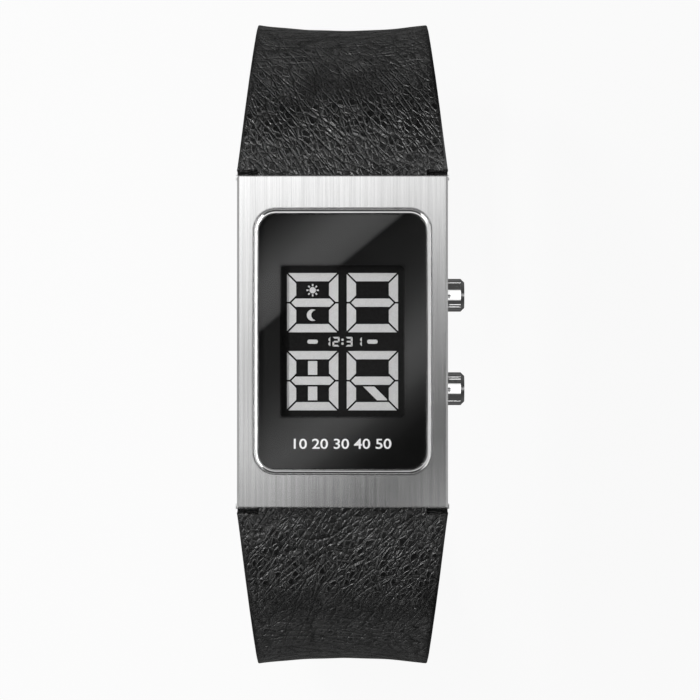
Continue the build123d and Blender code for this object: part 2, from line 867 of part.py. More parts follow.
def pusher_clip():
    """Open retaining ring that stops the stem at the inside of the wall."""
    low, high = stem_clip_range()
    ring = disc(low, high, stem_clip_radius) - disc(low, high, stem_groove_radius + running)
    half = stem_clip_mouth / 2
    return ring - block((-half, half), (0, stem_clip_radius + overrun), (low, high))


def pusher_spring():
    """Return spring between the bottom of the bore and the inside of the button."""
    length = cap_floor - counterbore_floor
    spring = coil(pusher_spring_radius, pusher_spring_wire, pusher_spring_turns, length)
    return Pos(0, 0, counterbore_floor) * spring


# Spring bars at 12 o'clock
def bar_tube():
    """Tube of a spring bar, with a fixed tip at its left end and a hole at its right end."""
    end = slot_width / 2 - bar_end_gap
    tube = cross_pin(-end, end, bar_y, bar_height, bar_radius)
    tube += cross_pin(-end - tip_reach, -end, bar_y, bar_height, tip_radius)
    tube -= cross_pin(-end + bar_end_wall, end - bar_end_wall, bar_y, bar_height, bar_bore_radius)
    return tube - cross_pin(0, end + overrun, bar_y, bar_height, tip_radius + running)


def bar_tip():
    """Sprung tip at the right end, kept in the tube by its head."""
    end = slot_width / 2 - bar_end_gap
    head_end = end - bar_end_wall
    head = cross_pin(head_end - tip_head_length, head_end, bar_y, bar_height, bar_bore_radius - running)
    return head + cross_pin(head_end, end + tip_reach, bar_y, bar_height, tip_radius)


def bar_spring():
    """Spring between the tube's closed end and the tip's head."""
    start = -slot_width / 2 + bar_end_gap + bar_end_wall
    end = -start - tip_head_length
    radius = bar_bore_radius - running - bar_spring_wire / 2
    turns = round((end - start) / bar_spring_pitch)
    spring = coil(radius, bar_spring_wire, turns, end - start, bar_spring_wire_sides)
    return Plane(origin=(start, bar_y, bar_height), x_dir=(0, 1, 0), z_dir=(1, 0, 0)) * spring


# Strap. A half is drawn at 12 o'clock along s, the distance from the bar along its middle line.
class StrapPath:
    """Middle line of a half: out of the lug, over the shoulder, down, curled under and flat."""

    def __init__(self, drop, curl_radius, length):
        self.drop = drop
        self.curl_radius = curl_radius
        self.length = length
        self.shoulder_end = lug_run + shoulder_radius * math.radians(90 - lug_slope)
        self.curl_from = self.shoulder_end + drop
        self.curl_arc = curl_radius * math.pi / 2
        self.curl_end = self.curl_from + self.curl_arc

    def place(self, s):
        """Distance out from the watch's middle, height, and angle below the horizontal."""
        slope = math.radians(lug_slope)
        run = min(s, lug_run)
        turn = min(max(s, lug_run), self.shoulder_end) - lug_run
        angle = slope + turn / shoulder_radius
        fall = min(max(s, self.shoulder_end), self.curl_from) - self.shoulder_end
        curl = min(max(s - self.curl_from, 0), self.curl_arc) / self.curl_radius
        flat = max(s - self.curl_end, 0)
        out = bar_y + run * math.cos(slope) + shoulder_radius * (math.sin(angle) - math.sin(slope))
        out -= self.curl_radius * (1 - math.cos(curl)) + flat
        z = bar_height - run * math.sin(slope) - shoulder_radius * (math.cos(slope) - math.cos(angle))
        z -= fall + self.curl_radius * math.sin(curl)
        return out, z, angle + curl

    def frame(self, s):
        """Plane across the strap: X across it, Y out of its outer face, Z along it."""
        out, z, angle = self.place(s)
        heading = (0, math.cos(angle), -math.sin(angle))
        return Plane(origin=(0, out, z), x_dir=(-1, 0, 0), z_dir=heading)

    def curl_axis(self):
        """Axis that the curl goes round, turning towards the free end."""
        out, z, angle = self.place(self.curl_from)
        return Axis((0, out - self.curl_radius, z), (-1, 0, 0))


short_path = StrapPath(short_drop, short_curl_radius, short_length)
long_path = StrapPath(long_drop, long_curl_radius, long_length)


def strap_width(s):
    """Width that falls from the case's own to the buckle end's, quickly at first."""
    fade = math.exp(-min(s, flare_end) / flare_length)
    last = math.exp(-flare_end / flare_length)
    return strap_end_width + (case_width - strap_end_width) * (fade - last) / (1 - last)


def strap_half(s):
    """Half the thickness, padded near the case and thin from there on."""
    passed = min(max((s - thick_end) / (thin_from - thick_end), 0), 1)
    padding = (lug_half_thickness - strap_half_thickness) * (1 + math.cos(math.pi * passed)) / 2
    return strap_half_thickness + padding


def strap_cup(s):
    """How far the edges stand out from the middle where the leather bends."""
    passed = min(max((s - cup_from) / (cup_to - cup_from), 0), 1)
    return cup_height * math.sin(math.pi * passed) ** 2


def cupped_section(half, low, high, cup):
    """Cross-section with flat sides, and with curved faces where the strap is cupped."""
    if cup > cup_least:
        lower = ThreePointArc((-half, low + cup), (0, low), (half, low + cup))
        upper = ThreePointArc((half, high + cup), (0, high), (-half, high + cup))
    else:
        lower = Line((-half, low), (half, low))
        upper = Line((half, high), (-half, high))
    right = Line(lower @ 1, upper @ 0)
    left = Line(upper @ 1, lower @ 0)
    return make_face([lower, right, upper, left])


def strip(path, begin, end, low_of, high_of, spare=0.0):
    """Layer between two heights that are functions of s: tapered, then curled, then straight."""
    def section(s):
        half = strap_width(s) / 2
        cup = strap_cup(s) * ((half + spare) / half) ** 2
        return path.frame(s) * cupped_section(half + spare, low_of(s), high_of(s), cup)

    count = max(round((flare_end - begin) / station_step), 2)
    step = (flare_end - begin) / count
    layer = loft([section(begin + index * step) for index in range(count + 1)])
    turn = math.degrees((min(end, path.curl_end) - flare_end) / path.curl_radius)
    layer += revolve(section(flare_end), axis=path.curl_axis(), revolution_arc=turn)
    if end > path.curl_end:
        heading = path.frame(path.curl_end).z_dir
        layer += extrude(section(path.curl_end), end - path.curl_end, dir=heading)
    return layer


def strap_layers(path, lining_end, recess_end):
    """Outer leather, turned round the bar, and the lining inside it."""
    def inner_face(s):
        return -strap_half(s)

    def seam(s):
        return lining_thickness - strap_half(s)

    whole = strip(path, 0, path.length, inner_face, strap_half)
    recess = strip(path, turn_up - glue_gap, recess_end,
                   lambda s: inner_face(s) - overrun, lambda s: seam(s) + glue_gap, spare=overrun)
    lining = strip(path, turn_up, lining_end, inner_face, seam)
    return lug_end(whole - recess), lining


def lug_end(leather):
    """Rounds the leather about the bar, narrows it between the ears and bores it for the bar."""
    tongue = slot_width / 2 - swing_gap
    far = case_width / 2 + overrun
    leather += cross_pin(-tongue, tongue, bar_y, bar_height, lug_loop_radius)
    for x_low, x_high in ((tongue, far), (-far, -tongue)):
        leather -= cross_pin(x_low, x_high, bar_y, bar_height, ear_radius + swing_gap)
    return leather - cross_pin(-far, far, bar_y, bar_height, bar_radius + running)


def short_strap():
    """12 o'clock half, looped round the buckle's bar and slotted for the tang."""
    lining_end = short_length - turn_up
    outer, lining = strap_layers(short_path, lining_end, lining_end + glue_gap)
    place = short_path.frame(short_length)
    half = strap_end_width / 2
    outer += place * cross_pin(-half, half, 0, 0, strap_loop_radius)
    outer -= place * cross_pin(-half - overrun, half + overrun, 0, 0, pin_radius + pin_loop_gap)
    reach = strap_loop_radius + overrun
    slot = place * block((-tang_slot / 2, tang_slot / 2), (-reach, reach), (-tang_slot_length, reach))
    return outer - slot, lining - slot


def tip_waste():
    """What is cut off the flat tail to shape its tip."""
    half = strap_end_width / 2
    end = long_path.length
    start = end - tip_length
    half_tip = tip_end_width / 2
    points = [(-half, start - tip_length), (-half, start), (-half_tip, end), (half_tip, end),
              (half, start), (half, start - tip_length)]
    outline = Polygon(*points, align=None)
    tips = outline.vertices().group_by(Axis.Y)[-1]
    outline = fillet(tips, tip_corner_radius)
    sides = outline.vertices().group_by(Axis.Y)[1]
    outline = fillet(sides, tip_corner_radius)
    around = Rectangle(2 * (half + overrun), tip_length + overrun)
    around = Pos(0, (start + end + overrun) / 2, 0) * around
    waste = extrude(around - outline, 2 * strap_half_thickness + overrun, both=True)
    origin = long_path.frame(end)
    flat = Plane(origin=origin.from_local_coords(Vector(0, 0, -end)), x_dir=(-1, 0, 0),
                 z_dir=origin.y_dir * -1)
    return flat * waste


def hole_cutters():
    """Cutters for the row of buckle holes, square to the leather."""
    cutters = []
    for index in range(hole_count):
        place = long_path.frame(long_length - hole_from_tip - index * hole_pitch)
        reach = strap_half_thickness + overrun
        cutters.append(place * Rot(90, 0, 0) * Cylinder(hole_radius, 2 * reach))
    return cutters


def long_strap():
    """6 o'clock half with its holes and its rounded tip, drawn at 12 o'clock and mirrored."""
    outer, lining = strap_layers(long_path, long_length, long_length + overrun)
    for cutter in hole_cutters() + [tip_waste()]:
        outer -= cutter
        lining -= cutter
    return mirrored(outer), mirrored(lining)


def keeper(at):
    """Leather loop round the strap and room for the tail, curved along the curl."""
    inner_width = strap_end_width + 2 * keeper_side_gap
    low = -strap_half_thickness - keeper_inner_gap
    high = 3 * strap_half_thickness + 2 * keeper_inner_gap
    inner = Rectangle(inner_width, high - low)
    around = 2 * keeper_wall
    outer = RectangleRounded(inner_width + around, high - low + around, keeper_corner_radius)
    place = short_path.frame(at - keeper_length / 2)
    profile = place * Pos(0, (low + high) / 2, 0) * (outer - inner)
    turn = math.degrees(keeper_length / short_curl_radius)
    return revolve(profile, axis=short_path.curl_axis(), revolution_arc=turn)


# Buckle, drawn about its bar: X along the bar, Y out of the strap's face, Z towards the crossbar
def buckle_bar():
    """Bar through the strap's end loop, with thinner tips in the buckle's arms."""
    half = arm_inner_x - pin_end_gap
    tip = arm_inner_x + pin_tip_length
    return cross_pin(-half, half, 0, 0, pin_radius) + cross_pin(-tip, tip, 0, 0, tip_radius)


def buckle_frame():
    """Steel frame: two arms from the bar and a crossbar that stands a little proud."""
    half = buckle_thickness / 2
    outer_x = arm_inner_x + buckle_arm
    low = crossbar_lift - half
    high = crossbar_lift + half
    side = [(-half, 0), (low, buckle_reach), (low, crossbar_far), (high, crossbar_far),
            (high, buckle_reach), (half, 0)]
    frame = side_profile(side, -outer_x, outer_x) + cross_pin(-outer_x, outer_x, 0, 0, half)
    tall = buckle_thickness + overrun
    frame -= block((-arm_inner_x, arm_inner_x), (-tall, tall), (-half - overrun, buckle_reach))
    upright = frame.edges().filter_by(Axis.Y)
    frame = fillet(upright.group_by(Axis.Z)[-1], buckle_corner_radius)
    hole = arm_inner_x + pin_tip_length + pin_end_gap
    return frame - cross_pin(-hole, hole, 0, 0, tip_radius + running)


def buckle_tang():
    """Tongue with an eye round the bar, resting on the crossbar's outer face."""
    rest = crossbar_lift + buckle_thickness / 2 + tang_rest_gap
    eye_top = tang_eye_radius
    tip = crossbar_far + tang_tip_past
    top = rest + tang_thickness
    points = [(eye_top - tang_thickness, 0), (rest, buckle_reach), (rest, tip),
              (top - tang_tip_taper, tip), (top, buckle_reach), (eye_top, 0)]
    half = tang_width / 2
    tang = side_profile(points, -half, half) + cross_pin(-half, half, 0, 0, tang_eye_radius)
    return tang - cross_pin(-half - overrun, half + overrun, 0, 0, pin_radius + running)


def write_case():
    """Writes the case, the glass and the module."""
    save("mid_case", mid_case())
    save("case_back", case_back())
    save("case_back_gasket", gasket_groove(running))
    save("case_back_screws", *case_back_screws())
    save("bezel", bezel())
    save("crystal_ring", crystal_ring())
    save("crystal", crystal())
    save("crystal_gasket", crystal_gasket())
    save("crystal_print", crystal_print())
    save("dial_plate", dial_plate())
    film_width = front_glass_width - 2 * film_inset
    save("lcd_polariser", slab(film_width, rear_glass_length, z_film, z_segments))
    save("lcd_front_glass", slab(front_glass_width, front_glass_length, z_front_glass, z_film))
    save("lcd_rear_glass", slab(front_glass_width, rear_glass_length, z_rear_glass, z_front_glass))
    save("lcd_reflector", slab(film_width, rear_glass_length, z_reflector, z_rear_glass))
    save("lcd_segments", *lcd_segments())
    save("zebra_connectors", *zebra_connectors())
    save("lcd_holder", lcd_holder())
    save("circuit_board", circuit_board())
    save("driver_chip", driver_chip())
    save("quartz_can", quartz_can())
    save("capacitors", *capacitors())
    save("switch_contacts", *switch_contacts())
    save("battery", battery())
    save("battery_contact", battery_contact())
    save("battery_holder", battery_holder())
    save("battery_clip", battery_clip())
    save("module_screws", *module_screws())


def write_pushers():
    """Writes the parts of both pushers."""
    for name, y in (("upper", pusher_y), ("lower", -pusher_y)):
        place = pusher_place(y)
        save(name + "_pusher_cap", place * pusher_cap())
        save(name + "_pusher_tube", place * pusher_tube())
        save(name + "_pusher_spring", place * pusher_spring())
        save(name + "_pusher_seals", *[place * ring for ring in pusher_seals()])
        save(name + "_pusher_clip", place * pusher_clip())


def write_spring_bars():
    """Writes both spring bars."""
    pieces = (("tube", bar_tube()), ("tip", bar_tip()), ("spring", bar_spring()))
    for name, shape in pieces:
        save("spring_bar_" + name + "_12", shape)
        save("spring_bar_" + name + "_6", mirrored(shape))


def write_strap():
    """Writes both strap halves, the keepers and the buckle."""
    outer, lining = short_strap()
    save("short_strap_outer", outer)
    save("short_strap_lining", lining)
    outer, lining = long_strap()
    save("long_strap_outer", outer)
    save("long_strap_lining", lining)
    save("fixed_keeper", keeper(fixed_keeper_at))
    save("sliding_keeper", keeper(sliding_keeper_at))
    place = short_path.frame(short_length)
    save("buckle_bar", place * buckle_bar())
    save("buckle_frame", place * buckle_frame())
    save("buckle_tang", place * buckle_tang())


os.makedirs("parts", exist_ok=True)
write_case()
write_pushers()
write_spring_bars()
write_strap()
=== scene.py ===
# Digital watch on a leather strap: finishes, leather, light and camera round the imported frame
from math import cos, pi, radians, sin

import bmesh
import bpy
import numpy as np
from mathutils import Matrix, Vector


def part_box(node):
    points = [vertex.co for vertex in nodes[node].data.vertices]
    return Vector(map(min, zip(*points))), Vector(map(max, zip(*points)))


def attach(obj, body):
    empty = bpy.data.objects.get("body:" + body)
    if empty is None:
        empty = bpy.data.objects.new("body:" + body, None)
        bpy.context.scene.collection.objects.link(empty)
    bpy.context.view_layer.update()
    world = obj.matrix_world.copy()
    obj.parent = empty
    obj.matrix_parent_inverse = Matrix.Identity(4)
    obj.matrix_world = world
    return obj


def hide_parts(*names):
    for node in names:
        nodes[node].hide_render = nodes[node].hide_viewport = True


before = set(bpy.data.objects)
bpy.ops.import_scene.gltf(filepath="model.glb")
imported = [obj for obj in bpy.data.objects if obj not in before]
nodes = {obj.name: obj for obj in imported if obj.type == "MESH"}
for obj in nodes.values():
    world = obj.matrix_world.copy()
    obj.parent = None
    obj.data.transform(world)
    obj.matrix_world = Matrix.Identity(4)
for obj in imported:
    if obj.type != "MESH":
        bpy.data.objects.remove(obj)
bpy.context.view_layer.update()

mm = 0.001
print("frame:", len(nodes), "nodes")


class Level:
    # one number socket: + - * / on it add Math nodes
    def __init__(self, finish, socket):
        self.finish, self.socket = finish, socket

    def calc(self, operation, *terms):
        return self.finish.node("Math", {"operation": operation}, dict(enumerate(terms)))

    def __add__(self, other):
        return self.calc("ADD", self, other)

    def __radd__(self, other):
        return self.calc("ADD", other, self)

    def __sub__(self, other):
        return self.calc("SUBTRACT", self, other)

    def __rsub__(self, other):
        return self.calc("SUBTRACT", other, self)

    def __mul__(self, other):
        return self.calc("MULTIPLY", self, other)

    def __rmul__(self, other):
        return self.calc("MULTIPLY", other, self)

    def __truediv__(self, other):
        return self.calc("DIVIDE", self, other)

    def least(self, other):
        return self.calc("MINIMUM", self, other)

    def most(self, other):
        return self.calc("MAXIMUM", self, other)

    def ease(self, low, high, start=0.0, end=1.0):  # smooth step from start to end
        return self.finish.node("MapRange", {"interpolation_type": "SMOOTHSTEP"},
                                {0: self, 1: low, 2: high, 3: start, 4: end})


class Finish:
    # one material, lamp or world: node() adds any node, the rest are short forms of it
    def __init__(self, name, owner=None):
        self.owner = owner or bpy.data.materials.new(name)
        self.owner.use_nodes = True
        self.tree = self.owner.node_tree
        self.tree.nodes.clear()

    def node(self, kind, settings=(), values=(), out=0):
        made = self.tree.nodes.new("ShaderNode" + kind)
        for key, value in dict(settings).items():
            if key == "stops":  # a ramp's places and greys
                ramp = made.color_ramp.elements
                for place, shade in value[1:-1]:
                    ramp.new(place).color = grey(shade)
                for element, (place, shade) in ((ramp[0], value[0]), (ramp[-1], value[-1])):
                    element.position, element.color = place, grey(shade)
            else:
                setattr(made, key, value)
        for key, value in dict(values).items():
            if isinstance(value, Level):
                self.tree.links.new(value.socket, made.inputs[key])
            else:
                made.inputs[key].default_value = value
        return Level(self, made.outputs[out])

    def place(self, scale=(1.0, 1.0, 1.0)):  # object coordinates in mm
        spot = self.node("TexCoord", out="Object")
        return self.node("Mapping", (), {0: spot, 3: [v / mm for v in scale]})

    def hide(self, scale=(1.0, 1.0, 1.0), turn=0.0, shift=0.0):  # strap laid flat, in mm
        spot = self.node("Attribute", {"attribute_name": "hide"}, out=1)
        spot = self.node("Mapping", (), {0: spot, 1: (shift, shift, shift), 2: (0.0, 0.0, turn)})
        return self.node("VectorMath", {"operation": "MULTIPLY"}, {0: spot, 1: scale})

    def noise(self, spot, size, detail=2.0, rough=0.5, out=0):
        return self.node("TexNoise", (), {"Vector": spot, "Scale": 1.0 / size, "Detail": detail,
                                          "Roughness": rough}, out)

    def cracks(self, spot, size):  # distance to the nearest cell wall
        return self.node("TexVoronoi", {"feature": "DISTANCE_TO_EDGE"},
                         {"Vector": spot, "Scale": 1.0 / size})

    def warp(self, spot, size, amount):  # moves a pattern's coordinates about by amount
        drift = self.noise(spot, size, out=1)
        drift = self.node("VectorMath", {"operation": "SUBTRACT"}, {0: drift, 1: (0.5, 0.5, 0.5)})
        return self.node("VectorMath", {"operation": "MULTIPLY_ADD"},
                         {0: drift, 1: (2.0 * amount,) * 3, 2: spot})

    def tint(self, share, first, second):
        return self.node("Mix", {"data_type": "RGBA"}, {0: share, 6: first, 7: second}, 2)

    def bump(self, height, depth):  # depth in mm for a height of one
        return self.node("Bump", (), {"Strength": 1.0, "Distance": depth * mm, "Height": height})

    def coat(self, **values):
        names = {"color": "Base Color", "rough": "Roughness", "metal": "Metallic", "normal": "Normal",
                 "ior": "IOR", "clear": "Transmission Weight", "gleam": "Specular IOR Level"}
        return self.node("BsdfPrincipled", (), {names[key]: value for key, value in values.items()})

    def close(self, shader):
        kinds = {bpy.types.World: "World", bpy.types.Material: "Material"}
        kind = next((kinds[each] for each in kinds if isinstance(self.owner, each)), "Light")
        made = self.tree.nodes.new("ShaderNodeOutput" + kind)
        self.tree.links.new(shader.socket, made.inputs[0])
        return self.owner


def grey(value):
    return (value, value, value, 1.0)


def rgb(red, green, blue):
    return (red, green, blue, 1.0)


finishes = {}

# Metals: noise drawn out along the brushing, finer noise for the marks of handling
steels = {
    "brushed_front": {"color": grey(0.80), "dark": grey(0.66), "rough": 0.17, "spread": 0.05,
                      "grain": (1.0, 0.006, 0.3), "size": 0.07, "depth": 0.00035},
    "brushed_case": {"color": grey(0.78), "dark": grey(0.68), "rough": 0.28, "spread": 0.10,
                     "grain": (0.6, 0.02, 1.0), "size": 0.09, "depth": 0.0012},
    "polished_steel": {"color": grey(0.86), "dark": grey(0.80), "rough": 0.07, "spread": 0.05,
                       "grain": (1.0, 1.0, 1.0), "size": 0.8, "depth": 0.0002},
    "screw_steel": {"color": grey(0.74), "dark": grey(0.62), "rough": 0.22, "spread": 0.12,
                    "grain": (1.0, 1.0, 1.0), "size": 0.12, "depth": 0.0008},
    "spring_steel": {"color": grey(0.62), "dark": grey(0.48), "rough": 0.25, "spread": 0.12,
                     "grain": (1.0, 0.2, 1.0), "size": 0.1, "depth": 0.0006},
    "cell_steel": {"color": grey(0.78), "dark": grey(0.70), "rough": 0.20, "spread": 0.08,
                   "grain": (0.05, 1.0, 1.0), "size": 0.12, "depth": 0.0006},
    "contact_brass": {"color": rgb(0.80, 0.60, 0.26), "dark": rgb(0.62, 0.43, 0.16), "rough": 0.24,
                      "spread": 0.14, "grain": (0.3, 1.0, 1.0), "size": 0.15, "depth": 0.0006},
}
steelMarks = {"wide": 6.0, "handled": 1.7, "share": 0.6, "tint": (0.35, 0.65)}
for name, look in steels.items():
    steel = Finish(name)
    share = steelMarks["share"]
    lines = steel.noise(steel.place(look["grain"]), look["size"], 3.0, 0.6)
    wide = steel.noise(steel.place(look["grain"]), look["size"] * steelMarks["wide"], 2.0)
    marks = steel.noise(steel.place(), steelMarks["handled"], 4.0, 0.6)
    streaks = (lines * share + wide * (1.0 - share)).ease(*steelMarks["tint"])
    color = steel.tint(streaks, look["dark"], look["color"])
    rough = look["rough"] + (marks - 0.5) * look["spread"] + (lines - 0.5) * look["spread"]
    normal = steel.bump(lines + wide * share, look["depth"])
    finishes[name] = steel.close(steel.coat(color=color, rough=rough, metal=1.0, normal=normal))

# Glass: clear to lamps and to light from below it; a faint waviness only
glassLook = {"ior": 1.5, "wave": 9.0, "depth": 0.0004}
glass = Finish("glass")
waves = glass.bump(glass.noise(glass.place(), glassLook["wave"], 1.0), glassLook["depth"])
clear = glass.coat(color=grey(1.0), rough=0.0, ior=glassLook["ior"], clear=1.0, normal=waves)
shadow, diffuse = [glass.node("LightPath", out=name) for name in ("Is Shadow Ray", "Is Diffuse Ray")]
through = glass.node("BsdfTransparent")
finishes["glass"] = glass.close(glass.node(
    "MixShader", (), {0: shadow.most(diffuse), 1: clear, 2: through}))

# Plain parts: a colour with a second one worked in by noise, and a fine bump
plains = {
    "black_mask": {"color": grey(0.0014), "other": grey(0.0022), "rough": 0.30, "size": 0.5,
                   "depth": 0.0005},
    "black_plastic": {"color": grey(0.010), "other": grey(0.020), "rough": 0.55, "size": 0.12,
                      "depth": 0.003},
    "display_dark": {"color": grey(0.011), "other": grey(0.014), "rough": 0.60, "size": 0.3,
                     "depth": 0.0005, "gleam": 0.0},
    "display_glass": {"color": rgb(0.33, 0.36, 0.34), "other": rgb(0.28, 0.31, 0.29), "rough": 0.12,
                      "size": 2.0, "depth": 0.0005},
    "reflector": {"color": grey(0.62), "other": grey(0.55), "rough": 0.35, "size": 0.15,
                  "depth": 0.001},
    "segment_grey": {"color": grey(0.62), "other": grey(0.58), "rough": 0.50, "size": 0.4,
                     "depth": 0.0003},
    "white_plastic": {"color": rgb(0.80, 0.79, 0.76), "other": rgb(0.74, 0.73, 0.69), "rough": 0.45,
                      "size": 0.3, "depth": 0.003},
    "black_rubber": {"color": grey(0.016), "other": grey(0.028), "rough": 0.70, "size": 0.10,
                     "depth": 0.004},
    "resin": {"color": grey(0.008), "other": grey(0.015), "rough": 0.20, "size": 0.8, "depth": 0.02},
    "ceramic": {"color": rgb(0.52, 0.42, 0.30), "other": rgb(0.44, 0.35, 0.24), "rough": 0.45,
                "size": 0.08, "depth": 0.002},
}
plainMarks = {"tint": (0.3, 0.7), "broad": 2.5, "smoothest": 0.85, "spread": 0.3, "gleam": 0.5}
for name, look in plains.items():
    plain = Finish(name)
    cloud = plain.noise(plain.place(), look["size"], 3.0, 0.6)
    broad = plain.noise(plain.place(), plainMarks["broad"], 2.0)
    color = plain.tint(cloud.ease(*plainMarks["tint"]), look["color"], look["other"])
    rough = look["rough"] * (plainMarks["smoothest"] + broad * plainMarks["spread"])
    finishes[name] = plain.close(plain.coat(
        color=color, rough=rough, gleam=look.get("gleam", plainMarks["gleam"]),
        normal=plain.bump(cloud, look["depth"])))

# Rubber connectors: thin conducting stripes across their length
zebraLook = {"bands": 2.5, "edge": (0.35, 0.65), "dark": grey(0.02), "light": rgb(0.42, 0.43, 0.44),
             "rough": 0.55, "spread": 0.1, "depth": 0.004}
zebra = Finish("connector_rubber")
stripes = zebra.node("TexWave", {"bands_direction": "X"},
                     {"Vector": zebra.place(), "Scale": zebraLook["bands"]})
color = zebra.tint(stripes.ease(*zebraLook["edge"]), zebraLook["dark"], zebraLook["light"])
finishes["connector_rubber"] = zebra.close(zebra.coat(
    color=color, rough=zebraLook["rough"] + stripes * zebraLook["spread"],
    normal=zebra.bump(stripes, zebraLook["depth"])))

# Circuit board: green solder mask, lighter and raised over the copper tracks, and a fine weave
boardLook = {"grid": (0.45, 1.6, 9.0), "track": 1.1, "edge": (0.50, 0.53), "stretch": (1.0, 1.0, 6.0),
             "thread": 0.2, "mask": rgb(0.010, 0.085, 0.040), "covered": rgb(0.020, 0.150, 0.065),
             "rough": 0.35, "spread": 0.15, "depth": 0.018, "weaveShare": 0.2}
board = Finish("board")
grid = board.node("VectorMath", {"operation": "SNAP"}, {0: board.place(), 1: boardLook["grid"]})
track = board.noise(grid, boardLook["track"], 0.0).ease(*boardLook["edge"])
weave = board.noise(board.place(boardLook["stretch"]), boardLook["thread"], 2.0)
color = board.tint(track, boardLook["mask"], boardLook["covered"])
finishes["board"] = board.close(board.coat(
    color=color, rough=boardLook["rough"] + weave * boardLook["spread"],
    normal=board.bump(track + weave * boardLook["weaveShare"], boardLook["depth"])))

# Black leather: long folds and cells drawn out along one diagonal, finer pebbles, deep creases round the
# bend; painted edges. Each pattern is a net of grooves between cells: stretch, turn and shift place it,
# drift is the size and amount of its waviness, flank the width of a groove's side.
patterns = {
    "folds": {"stretch": (1.0, 0.30, 1.0), "turn": radians(-34.0), "shift": 0.0, "drift": (2.4, 0.45),
              "size": 1.20, "flank": 0.13},
    "cells": {"stretch": (1.0, 0.62, 1.0), "turn": radians(-30.0), "shift": 31.0, "drift": (1.1, 0.20),
              "size": 0.62, "flank": 0.22},
    "pebbles": {"stretch": (1.0, 0.80, 1.0), "turn": radians(20.0), "shift": 7.0, "drift": (0.5, 0.08),
                "size": 0.27, "flank": 0.42},
    "bends": {"stretch": (0.34, 1.0, 1.0), "turn": radians(-10.0), "shift": 13.0, "drift": (1.8, 0.35),
              "size": 1.50, "flank": 0.20},
}
# the light grey of the groove sides below is partly wear and partly a painted highlight
leather = {"black": grey(0.0022), "wornAndHighlight": grey(0.110), "paint": grey(0.0015), "gleam": 0.5,
           "fold": 0.135, "cell": 0.100, "bend": 0.30, "pebble": 0.007, "pore": 0.0008,
           "rough": 0.25, "poreRough": 0.10, "pebbleRough": 0.05,
           "bendFrom": (12.0, 20.0), "bendTo": (34.0, 44.0), "smoothed": 0.5,
           "patchSize": 6.0, "patchEdge": (0.33, 0.62), "patchShare": 0.45, "poreSize": 0.09,
           "evenRubAndHighlight": 0.2}
hide = Finish("black_leather")
nets = {}
for name, look in patterns.items():
    laid = hide.hide(look["stretch"], look["turn"], look["shift"])
    nets[name] = hide.cracks(hide.warp(laid, *look["drift"]), look["size"]).ease(0.0, look["flank"])
gone = hide.node("SeparateXYZ", (), {0: hide.hide()}, 1)  # distance along the strap
bent = gone.ease(*leather["bendFrom"]) * (1.0 - gone.ease(*leather["bendTo"]))
patch = hide.noise(hide.hide(), leather["patchSize"], 2.0).ease(*leather["patchEdge"])
pores = hide.noise(hide.hide(), leather["poreSize"], 2.0)
edge = hide.node("Attribute", {"attribute_name": "edge"}, out="Fac")
fine = 1.0 - bent * leather["smoothed"]
uneven = 1.0 - leather["patchShare"] + patch * leather["patchShare"]
height = (nets["cells"] * fine * leather["cell"] * uneven + nets["pebbles"] * leather["pebble"]
          + nets["folds"] * leather["fold"] * uneven + nets["bends"] * bent * leather["bend"]
          + pores * leather["pore"]) * (1.0 - edge)
# groove sides lightened where halfway up, partly as wear and partly as a painted highlight for the glints
# along them: 4 times ridge times its rest
ridge = 1.0 - (1.0 - nets["cells"]) * fine
ridge = ridge.least(nets["folds"]).least(1.0 - (1.0 - nets["bends"]) * bent)
rubAndHighlight = leather["evenRubAndHighlight"] + patch.most(bent) * (1.0 - leather["evenRubAndHighlight"])
color = hide.tint(ridge * (1.0 - ridge) * 4.0 * rubAndHighlight * pores, leather["black"], leather["wornAndHighlight"])
color = hide.tint(edge, color, leather["paint"])
rough = (leather["rough"] + (pores - 0.5) * leather["poreRough"]
         + (1.0 - nets["pebbles"]) * leather["pebbleRough"])
finishes["black_leather"] = hide.close(hide.coat(
    color=color, rough=rough, normal=hide.bump(height, 1.0), gleam=leather["gleam"]))

# Lining: smooth black leather with fine pores
liningLook = {"grain": 0.35, "flank": 0.5, "pore": 0.12, "dark": grey(0.012), "light": grey(0.024),
              "share": 0.7, "rough": 0.52, "spread": 0.12, "depth": 0.012, "poreShare": 0.5}
lining = Finish("strap_lining")
grain = lining.cracks(lining.hide(), liningLook["grain"]).ease(0.0, liningLook["flank"])
pores = lining.noise(lining.hide(), liningLook["pore"], 2.0)
color = lining.tint(grain * liningLook["share"], liningLook["dark"], liningLook["light"])
finishes["strap_lining"] = lining.close(lining.coat(
    color=color, rough=liningLook["rough"] + pores * liningLook["spread"],
    normal=lining.bump(grain + pores * liningLook["poreShare"], liningLook["depth"])))

# White printing ink for the numerals
inkLook = {"fleck": 0.08, "edge": (0.3, 0.7), "dark": grey(0.86), "light": grey(0.93), "rough": 0.5,
           "spread": 0.1, "depth": 0.001}
ink = Finish("white_ink")
flecks = ink.noise(ink.place(), inkLook["fleck"], 2.0)
color = ink.tint(flecks.ease(*inkLook["edge"]), inkLook["dark"], inkLook["light"])
finishes["white_ink"] = ink.close(ink.coat(
    color=color, rough=inkLook["rough"] + flecks * inkLook["spread"],
    normal=ink.bump(flecks, inkLook["depth"])))

for node in nodes.values():
    for hold in node.material_slots:
        hold.material = finishes[hold.material.name.split(".")[0]]
print("finishes:", len(finishes))


